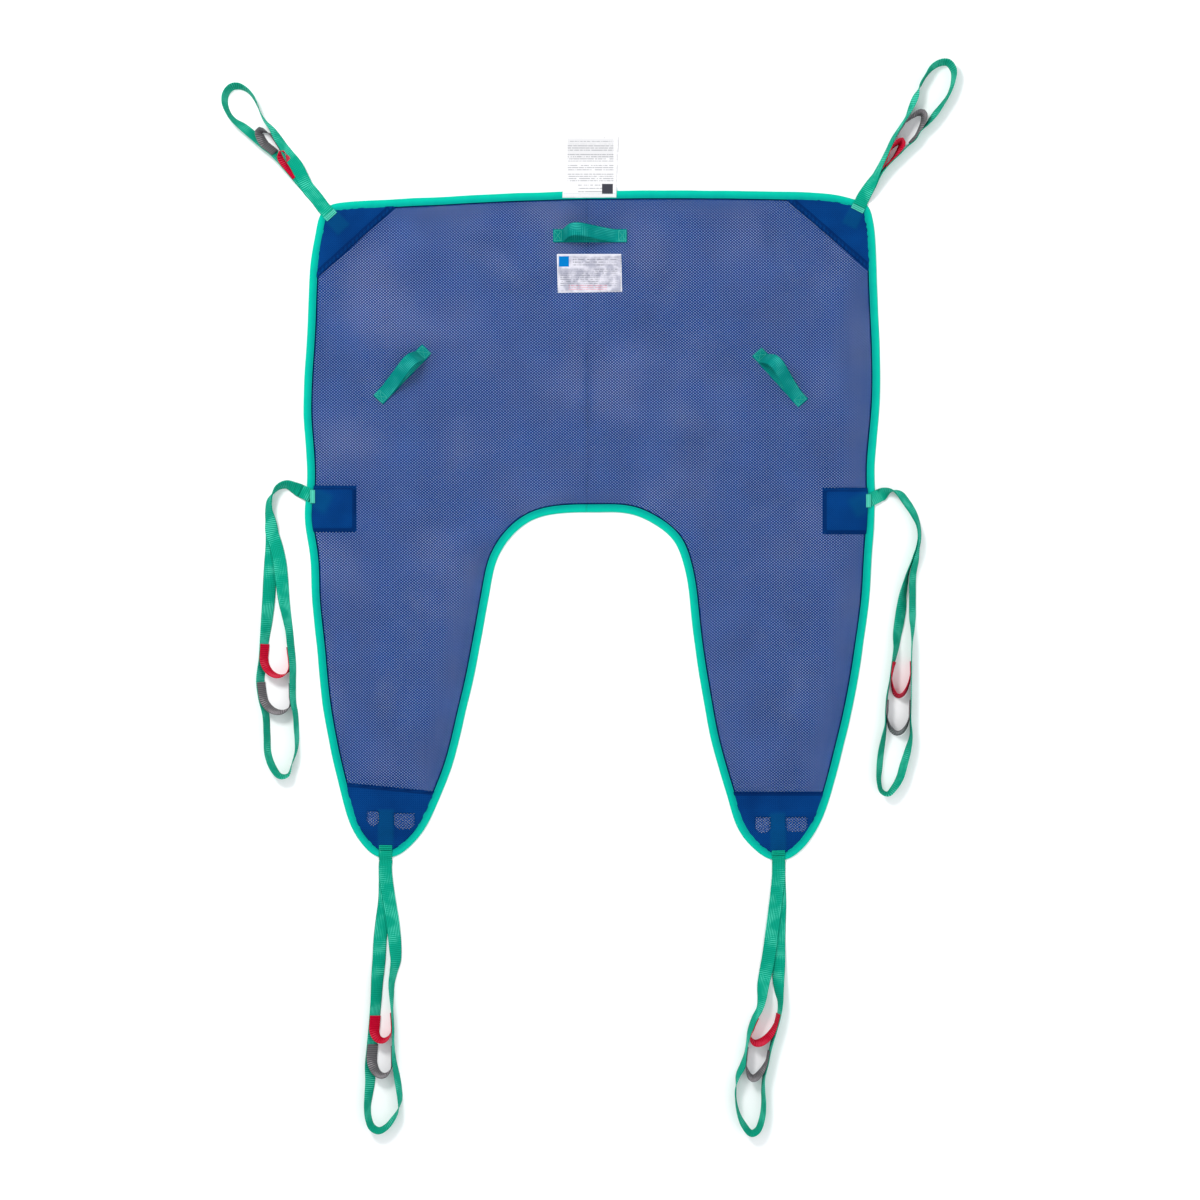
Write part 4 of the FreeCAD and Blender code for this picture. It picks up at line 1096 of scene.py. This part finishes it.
def make_patch(node, body, polygon, hems, windows=()):
    """A patch of double net, with a row of stitches along each hem."""
    polygon = resample(polygon, PATCH_SPACING)
    shapes = [resample(np.array(window_shape(w)), 3.0) for w in windows]
    sheet = sheet_mesh(polygon, patch_height, PATCH_SPACING, shapes)
    rows = []
    for first, last in hems:
        line = np.linspace(first, last, 40)
        line = line[inside(line, polygon)]
        rows.append([(x, y, patch_height(x, y) + 0.15) for x, y in line])
    parts = joined(sheet, stitches([r for r in rows if len(r) > 2], radius=0.5))

    def hem_distance(places):
        return np.min([distance_to_line(places, hem) for hem in hems], axis=0)

    def over_tail(places):
        return np.array([tail_bulge(x, y) for x, y in places]) / TAIL_BULGE

    patch = new_piece(
        node.replace("patch", "net"), *parts[:3], [DOUBLE_NET, BLUE_THREAD], face_slots=parts[3],
        body=body, replaces=(node,), slot="mesh_double", marks={"edge": hem_distance, "over": over_tail},
    )


def shifted(line, distance):
    """A line moved to its left."""
    first, last = np.array(line, float)
    along = (last - first) / np.linalg.norm(last - first)
    return np.array([first, last]) + np.array((-along[1], along[0])) * distance


under_edge = inset_outline(13.5)
for side, line in (("left", LEFT_CORNER_HEM[::-1]), ("right", RIGHT_CORNER_HEM)):
    shape = clip_left_of(under_edge, line)
    hem = [shifted(line, HEM_INSET), shifted(line, SECOND_HEM)]
    make_patch("corner_patch_" + side, "back", shape, hem)
for side, corners in (("left", LEFT_HIP_PATCH), ("right", RIGHT_HIP_PATCH)):
    shape = under_edge
    for point, inward in rectangle(corners):
        shape = clip(shape, point, inward)
    x_from, y_from, x_to, y_to = corners
    inner_x = x_to - HEM_INSET if side == "left" else x_from + HEM_INSET
    foot = y_from + HEM_INSET
    head = y_to - HEM_INSET
    hem = [((x_from, foot), (x_to, foot)), ((x_from, head), (x_to, head))]
    hem += [((inner_x, foot), (inner_x, head))]
    make_patch("hip_patch_" + side, "back", shape, hem)
for side, line, windows in (("left", LEFT_LEG_HEM, LEFT_WINDOWS), ("right", RIGHT_LEG_HEM, RIGHT_WINDOWS)):
    sign = -1 if side == "left" else 1
    shape = clip_left_of(clip(under_edge, (0, 0), (sign, 0)), line[::-1])
    hem = [shifted(line[::-1], HEM_INSET)]
    make_patch("leg_patch_" + side, "leg_" + side, shape, hem, windows)


# ---------------------------------------------------------------- straps

def turn_out(heading):
    """Unit vector in plan of a heading in degrees."""
    return np.array((math.cos(math.radians(heading)), math.sin(math.radians(heading))))


def straight(start, heading, first, last, height):
    """Frames of flat webbing inwards from a strap's seam, with its outer face up."""
    along = np.append(turn_out(heading), 0)
    side = np.array((-along[1], along[0], 0))
    step = 2.0
    count = max(int(abs(last - first) / step), 2)
    places = np.linspace(first, last, count + 1)
    points = [np.array((start[0], start[1], 0)) - along * p + np.array((0, 0, height(p))) for p in places]
    down = np.array((0, 0, -1.0))
    return np.array(points), np.array([side] * len(points)), np.array([down] * len(points))


def cross_rows(start, heading, distances, height):
    """Rows of thread across flat webbing, at distances inwards from the seam."""
    along = turn_out(heading)
    side = np.array((-along[1], along[0]))
    rows = []
    for distance in distances:
        centre = np.array(start) - along * distance
        rows.append([
            (*(centre + side * share * TACK_HALF_WIDTH), height) for share in (-1, -0.5, 0, 0.5, 1)
        ])
    return rows


for name, strap in STRAPS.items():
    root = STRAP_ROOTS[name]
    home = name if name.startswith("leg") else "back"
    body = name + "_strap"
    dense, places = through(strap["stations"])
    route = frames(dense, strap["turn"])
    lengths = lengths_along(route[0])
    first_cut = float(np.interp(END_PIECE, lengths, places))
    last_cut = float(np.interp(lengths[-1] - END_PIECE, lengths, places))
    webbing = ribbon(*part_of(route, places, first_cut, last_cut), start=END_PIECE)
    new_piece(name + "_webbing", *webbing, [GREEN], body=body, replaces=(body,), slot="webbing_green")

    # The sewn end: the lower ply goes in under the tab, the upper one runs onto the binding
    lower = ribbon(*part_of(route, places, 0.0, first_cut))
    upper_free = part_of(route, places, last_cut, float(places[-1]))
    start = root["at"]
    cloth = lie(start[0], start[1])

    def tab_rise(place):
        near = upper_free[0][-1][2]
        return near + (TAB_HEIGHT + cloth - near) * smooth(place, -3.0, 6.0)

    at_hip = name.startswith("hip")
    tab_end = root["tab"] - (HIP_TAB_CUT if at_hip else 0.0)
    tab = straight(start, root["heading"], -2.5, tab_end, tab_rise)
    upper = [np.vstack([a, b]) for a, b in zip(upper_free, tab)]
    if np.dot(upper_free[1][-1], tab[1][0]) < 0:
        upper[1] = np.vstack([upper_free[1], -tab[1]])
    upper = ribbon(*upper, start=lengths[-1] - END_PIECE)
    top = TAB_HEIGHT + cloth + WEBBING_TOP
    rows = cross_rows(start, root["heading"], (root["tab"] - 2.5, root["tab"] - 6.0), top + TURNED_LIFT)
    rows += cross_rows(start, root["heading"], (root["tab"] - TURNED_END - 0.9,), top)
    plies = joined(lower, upper)[:3]
    # The last stretch of the tab is folded back on itself
    centre = np.array(start) - turn_out(root["heading"]) * (root["tab"] - TURNED_END / 2)
    turned = straight(
        centre, seam_heading(name), -TURNED_END / 2, TURNED_END / 2 + 0.4,
        lambda place: TAB_HEIGHT + cloth + (HIP_TURNED_LIFT if at_hip else TURNED_LIFT),
    )
    thread = stitches(rows, pitch=2.4, length=2.1)
    parts = joined(plies, thread, ribbon(*turned))
    # The folded end at the shoulders and hips is painted paler, as painted light
    end_look = GREEN if name.startswith("leg") else LIT_END_GREEN
    end_piece = new_piece(
        name + "_sewn_end", *parts[:3], [GREEN, DARK_THREAD, end_look], face_slots=parts[3],
        replaces=(name + "_tab",), slot="webbing_green",
    )
    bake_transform(end_piece)

    # The long end, on the net under its patch
    tail = straight(start, root["heading"], 14.0, root["tail"], lambda place: TAIL_HEIGHT + cloth * 0.8)
    new_piece(
        name + "_sewn_tail", *ribbon(*tail), [GREEN], body=home, replaces=(name + "_tail",),
        slot="webbing_green",
    )

    for colour, material in (("red", RED), ("grey", GREY)):
        loop = LOOPS[name][colour]
        piece = ribbon(*loop_frames(strap, route, places, loop))
        new_piece(
            f"{name}_{colour}", *piece, [material], body=body, replaces=(f"{name}_{colour}_loop",),
            slot="webbing_" + colour,
        )


# ---------------------------------------------------------------- handles and labels

HANDLE_BOTTOM = PATCH_HEIGHT + 1.4     # under the arched strip
handle_rows = []
for name, handle in HANDLES.items():
    start = np.array(handle["from"], float)
    end = np.array(handle["to"], float)
    length = float(np.linalg.norm(end - start))
    along = np.append((end - start) / length, 0)
    side = np.array((-along[1], along[0], 0))

    def cloth_under(distance):
        return lie(*start) + (lie(*end) - lie(*start)) * smooth(distance, 0, length)

    # The flat base strip
    distances = np.linspace(0, length, STRIP_POINTS)
    base = [np.append(start, PATCH_HEIGHT - 0.35 + cloth_under(d)) + along * d for d in distances]
    strip = ribbon(
        np.array(base), np.array([side] * STRIP_POINTS), np.array([(0, 0, -1.0)] * STRIP_POINTS)
    )
    new_piece(
        name + "_under_strip", *strip, [HANDLE_GREEN], body="back", replaces=(name + "_base",),
        slot="webbing_handle",
    )

    # The arched strip, which leans to one side as it rises
    scale = length / HANDLE_PROFILE[-1][0]
    profile, _ = through([(s * scale, h, 0, 0) for s, h in HANDLE_PROFILE], 2.0)
    rising = np.array((0, 0, 1.0)) + side * handle["lean"]
    points = np.array([
        np.append(start, HANDLE_BOTTOM + cloth_under(d)) + along * d + rising * max(h, 0)
        for d, h, _, _ in profile
    ])
    slope = np.gradient(profile[:, :2], axis=0)
    slope /= np.linalg.norm(slope, axis=1)[:, None]
    inward = np.array([along * s[1] - np.array((0, 0, s[0])) for s in slope])
    arch = ribbon(points, np.array([side] * len(points)), inward)

    # A box stitch on each sewn end
    for middle, base_point in ((BOX_INSET, start), (length - BOX_INSET, end)):
        centre = np.append(start, HANDLE_BOTTOM + WEBBING_TOP + lie(*base_point)) + along * middle
        corners = [
            centre + along * a * 6.8 + side * b * 9.6
            for a, b in ((-1, -1), (1, -1), (1, 1), (-1, 1))
        ]
        handle_rows += [[corners[n], corners[(n + 1) % 4]] for n in range(4)]
        handle_rows += [[corners[0], corners[2]], [corners[1], corners[3]]]
    new_piece(
        name + "_webbing", *arch, [HANDLE_GREEN], body="back", replaces=(name,),
        slot="webbing_handle",
    )

thread = stitches(handle_rows, pitch=2.6, length=2.2, radius=0.5)
new_piece(
    "handle_box_stitches", *thread, [PALE_THREAD], body="back",
    replaces=("handle_stitching",), slot="thread",
)


def label_height(x, y):
    return PATCH_HEIGHT + 0.5 + lie(x, y) + 0.25 * wave(x, y, 14, 2.2)


label_shape = resample(np.array(CARE_LABEL, float), SHEET_SPACING)
label = sheet_mesh(label_shape, label_height, SHEET_SPACING, thickness=LABEL_THICKNESS)
centre = label_shape.mean(0)
rim = centre + (label_shape - centre) * 0.955
rows = [[(x, y, label_height(x, y) + 0.1) for x, y in list(rim) + [rim[0]]]]
parts = joined(label, stitches(rows, radius=0.3, pitch=2.6, length=1.9))
label_piece = new_piece(
    "care_label_cloth", *parts[:3], [label_look(), thread_look("thread_white", linear(222, 222, 230))],
    face_slots=parts[3], body="back", replaces=("care_label",), slot="label_cloth",
)


def tag_height(x, y):
    edge = 3.4 + lie(x, 776.0)
    away = smooth(y, 781, 797)
    curl = 0.9 + 1.6 * smooth(y, 840, 893) * (0.5 + wave(x, y, 60, 6.6))
    curl += 1.4 * max(wave(x, y, 44, 4.4), 0)
    return edge * (1 - away) + curl * away


tag_shape = np.array([(-52.0, 770.0), (51.5, 770.5), (57.0, 887.0), (-49.0, 892.5)])
tag = sheet_mesh(resample(tag_shape, SHEET_SPACING), tag_height, SHEET_SPACING, thickness=TAG_THICKNESS)
rows = [[(x, y, tag_height(x, y) + 0.15) for x in np.linspace(-50, 50, 30)] for y in (773.0, 778.0)]
parts = joined(tag, stitches(rows, radius=0.35))
tag_piece = new_piece(
    "instruction_leaf", *parts[:3], [tag_look(), thread_look("thread_tag", linear(190, 205, 210))],
    face_slots=parts[3], replaces=("instruction_tag", "instruction_tag_hem"), slot="tag_sheet",
)
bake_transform(tag_piece)

# The raised bar tacks are part of each strap's sewn end
for node in ("back_bar_tacks", "leg_left_bar_tacks", "leg_right_bar_tacks"):
    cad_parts[node].data.materials.clear()
    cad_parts[node].data.materials.append(DARK_THREAD)


# ---------------------------------------------------------------- floor, light and camera

FLOOR_REACH = 6.0          # metres from the middle to each side
FLOOR_HEIGHT = -0.0004
floor_mesh = bpy.data.meshes.new("floor")
floor_mesh.from_pydata(
    [
        (x * FLOOR_REACH, y * FLOOR_REACH, FLOOR_HEIGHT)
        for x, y in ((-1, -1), (1, -1), (1, 1), (-1, 1))
    ],
    [], [(0, 1, 2, 3)],
)
floor = bpy.data.objects.new("floor", floor_mesh)
bpy.context.scene.collection.objects.link(floor)
floor_look = bpy.data.materials.new("floor_white")
floor_look.use_nodes = True
floor_shader = floor_look.node_tree.nodes["Principled BSDF"]
floor_shader.inputs["Base Color"].default_value = (0.94, 0.945, 0.95, 1)
floor_shader.inputs["Roughness"].default_value = 0.9
floor_mesh.materials.append(floor_look)

world = bpy.data.worlds.new("studio")
world.use_nodes = True
world.node_tree.nodes["Background"].inputs["Color"].default_value = (0.96, 0.98, 1.0, 1)
world.node_tree.nodes["Background"].inputs["Strength"].default_value = 0.92
bpy.context.scene.world = world

# Colours are given as they are seen on screen
bpy.context.scene.view_settings.view_transform = "Standard"


def area_light(name, place, size, power, colour):
    """A square light that shines on the middle of the sling."""
    data = bpy.data.lights.new(name, "AREA")
    data.shape = "SQUARE"
    data.size = size
    data.energy = power
    data.color = colour
    light = bpy.data.objects.new(name, data)
    light.location = place
    light.rotation_euler = (-Vector(place)).to_track_quat("-Z", "Y").to_euler()
    bpy.context.scene.collection.objects.link(light)


area_light("key", (-1.6, 2.4, 3.4), 1.0, 110, (1.0, 0.99, 0.98))
area_light("fill", (2.6, -1.4, 2.8), 2.5, 20, (0.96, 0.98, 1.0))

FRAME_WIDTH = 2.31         # metres of floor across the picture
CAMERA_HEIGHT = 7.0
SENSOR_WIDTH = 36          # millimetres
camera_data = bpy.data.cameras.new("camera")
camera_data.sensor_width = SENSOR_WIDTH
camera_data.lens = SENSOR_WIDTH * CAMERA_HEIGHT / FRAME_WIDTH
camera = bpy.data.objects.new("camera", camera_data)
camera.location = (0.0202, -0.0039, CAMERA_HEIGHT)
bpy.context.scene.collection.objects.link(camera)
bpy.context.scene.camera = camera
